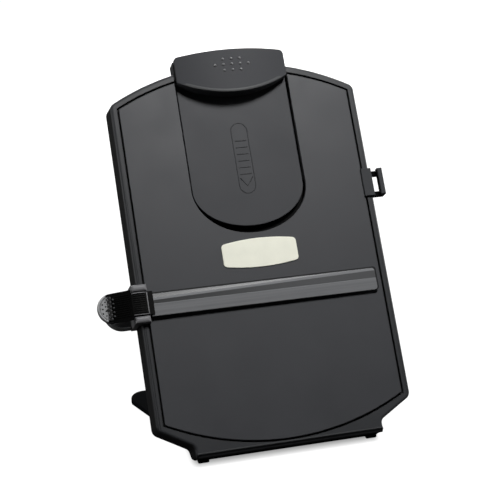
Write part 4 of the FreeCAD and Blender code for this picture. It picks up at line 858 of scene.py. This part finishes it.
def cover_screw_heads():
    """Six screws with pan heads and cross recesses, each turned its own way."""
    form = bmesh.new()
    outline = cross_outline(CROSS_HALF, CROSS_REACH)
    angles = [math.atan2(y, x) for x, y in outline]
    rings = [[(r * math.cos(a), r * math.sin(a), d) for a in angles] for r, d in SCREW_RINGS]
    rings.append([(x, y, SCREW_RINGS[-1][1]) for x, y in outline])
    rings.append([(x * CROSS_TAPER, y * CROSS_TAPER, CROSS_FLOOR) for x, y in outline])
    for side in (-1, 1):
        for i, t in enumerate(SCREW_T):
            turn = SCREW_TURN + SCREW_TURN_PER_ROW * i + SCREW_TURN_PER_SIDE * side
            place = board_matrix(SCREW_S * side, t, 0.0, turn)
            loft(form, [[place @ (Vector(point) * MM) for point in ring] for ring in rings])
    screws = mesh_object("cover_screw_heads", form, "dark_steel")
    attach(screws, "board")
    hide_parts("cover_screws")


# ---------------------------------------------------------------- studio

WHITE = (1.0, 1.0, 1.0, 1.0)
FLOOR_REACH = 8.0
FLOOR_ROUGHNESS = 0.9
FLOOR_SEEN = linear(96)        # the floor's colour to the camera, under its own glow
FLOOR_BOUNCE = linear(50)      # and what it hands on to the object
FLOOR_GLOW = (0.34, 1.0)       # under the object's front edge, where it paints a shadow, and all round
FLOOR_GLOSSY = 0.03            # how much of the glow mirrored rays see
PAINTED_SHADOW_MIDDLE = (0.011, -0.068, 0)
PAINTED_SHADOW_HALF = (0.086, 0.0485)   # the part of the painted shadow that is darkest, across and front to back
PAINTED_SHADOW_FADE = (0.011, 0.017)    # and how far it takes to fade
AMBIENT = (0.02, 0.5)          # the room's light on the object, from the front and from behind
AMBIENT_TURN = (-0.1, 0.8)     # how far a direction points backwards at those two
BACKDROP_TURN = (0.1, 0.75)    # and where mirrored rays begin to see the backdrop, and see it fully

LAMPS = {                      # place, what it points at, size and power
    "key": ((0.38, -0.47, 1.74), (0, 0, 0.17), (0.46, 0.33), 31.0),
    "left": ((-1.1, 0.2, 0.45), (-0.1, 0.02, 0.17), (0.5, 0.5), 3.8),
    "right": ((1.1, 0.2, 0.45), (0.1, 0.02, 0.17), (0.5, 0.5), 4.5),
    "back": ((0.35, 1.25, 0.21), (0, 0.05, 0.17), (0.9, 0.3), 20.0),
}

CAMERA_FROM_HINGE = (-316.0, -1046.05, 711.6)
CAMERA_DOWN = 25.119
CAMERA_TURN = -14.866
CAMERA_LENS = 96.48
CAMERA_SENSOR = 36.0


def background_rays(owner, mirrored):
    """1 for the camera's and transmitted rays, and for reflected ones what mirrored gives."""
    path = node(owner, "ShaderNodeLightPath")
    shown = math_node(owner, "MULTIPLY", path.outputs["Is Glossy Ray"], mirrored)
    for name in ("Is Camera Ray", "Is Transmission Ray"):
        shown = math_node(owner, "MAXIMUM", shown, path.outputs[name])
    return path, shown


def floor_glow_with_painted_shadow(owner):
    """The glow's strength, weaker in a soft rounded box under the object's front edge: a painted
    shadow.
    """
    offset = vector_node(owner, "SUBTRACT", object_point(owner), PAINTED_SHADOW_MIDDLE)[0]
    parts = node(owner, "ShaderNodeSeparateXYZ", [("Vector", offset)])
    beyond = []
    for name, half, fade in zip("XY", PAINTED_SHADOW_HALF, PAINTED_SHADOW_FADE):
        away = math_node(owner, "ABSOLUTE", parts.outputs[name])
        past = math_node(owner, "MAXIMUM", math_node(owner, "SUBTRACT", away, half))
        beyond.append(math_node(owner, "DIVIDE", past, fade))
    return map_range(owner, length(owner, *beyond), (0.0, 1.0), FLOOR_GLOW)


def white_floor():
    mesh = bpy.data.meshes.new("floor")
    signs = ((-1, -1), (1, -1), (1, 1), (-1, 1))
    corners = [(x * FLOOR_REACH, y * FLOOR_REACH, 0) for x, y in signs]
    mesh.from_pydata(corners, [], [(0, 1, 2, 3)])
    floor = linked_object("floor", mesh)
    material, shader = new_material("floor_white")
    shader.inputs["Roughness"].default_value = FLOOR_ROUGHNESS
    shader.inputs["Specular IOR Level"].default_value = 0.0
    shader.inputs["Emission Color"].default_value = WHITE
    path, shown = background_rays(material, FLOOR_GLOSSY)
    seen = path.outputs["Is Camera Ray"]
    colour = blend_colours(material, seen, FLOOR_BOUNCE, FLOOR_SEEN)
    strength = math_node(material, "MULTIPLY", shown, floor_glow_with_painted_shadow(material))
    material.node_tree.links.new(colour, shader.inputs["Base Color"])
    material.node_tree.links.new(strength, shader.inputs["Emission Strength"])
    mesh.materials.append(material)


def white_world():
    """White where it shows; to the object a bright wall behind it and a dim room in front."""
    world = bpy.data.worlds.new("studio")
    bpy.context.scene.world = world
    world.use_nodes = True
    world.node_tree.nodes.clear()
    direction = node(world, "ShaderNodeTexCoord").outputs["Generated"]
    backwards = node(world, "ShaderNodeSeparateXYZ", [(0, direction)]).outputs["Y"]
    light = map_range(world, backwards, AMBIENT_TURN, AMBIENT)
    room = node(world, "ShaderNodeBackground", [("Strength", light)], Color=WHITE).outputs[0]
    backdrop = node(world, "ShaderNodeBackground", Color=WHITE, Strength=1.0).outputs[0]
    mirrored = map_range(world, backwards, BACKDROP_TURN)
    shown = background_rays(world, mirrored)[1]
    choice = node(world, "ShaderNodeMixShader", [(0, shown), (1, room), (2, backdrop)])
    node(world, "ShaderNodeOutputWorld", [(0, choice.outputs[0])])


def area_light(name, place, aim, size, power):
    light = bpy.data.lights.new(name, "AREA")
    light.shape = "RECTANGLE"
    light.size, light.size_y = size
    light.energy = power
    lamp = linked_object(name, light)
    lamp.location = place
    lamp.rotation_euler = (Vector(aim) - Vector(place)).to_track_quat("-Z", "Y").to_euler()


def studio():
    white_floor()
    white_world()
    for name, settings in LAMPS.items():
        area_light(name, *settings)


def camera():
    data = bpy.data.cameras.new("camera")
    data.lens = CAMERA_LENS
    data.sensor_width = CAMERA_SENSOR
    eye = linked_object("camera", data)
    eye.location = HINGE + Vector(CAMERA_FROM_HINGE) * MM
    eye.rotation_euler = (math.radians(90 - CAMERA_DOWN), 0, math.radians(CAMERA_TURN))
    bpy.context.scene.camera = eye


camera()
studio()
dress_nodes()
clip_dots()
clip_lip()
slide_mark()
lever_ribs()
lever_line()
thumb_rim()
thumb_pits()
thumb_bumps()
rest_rim()
cover_screw_heads()


bpy.context.scene.view_settings.view_transform = "Standard"
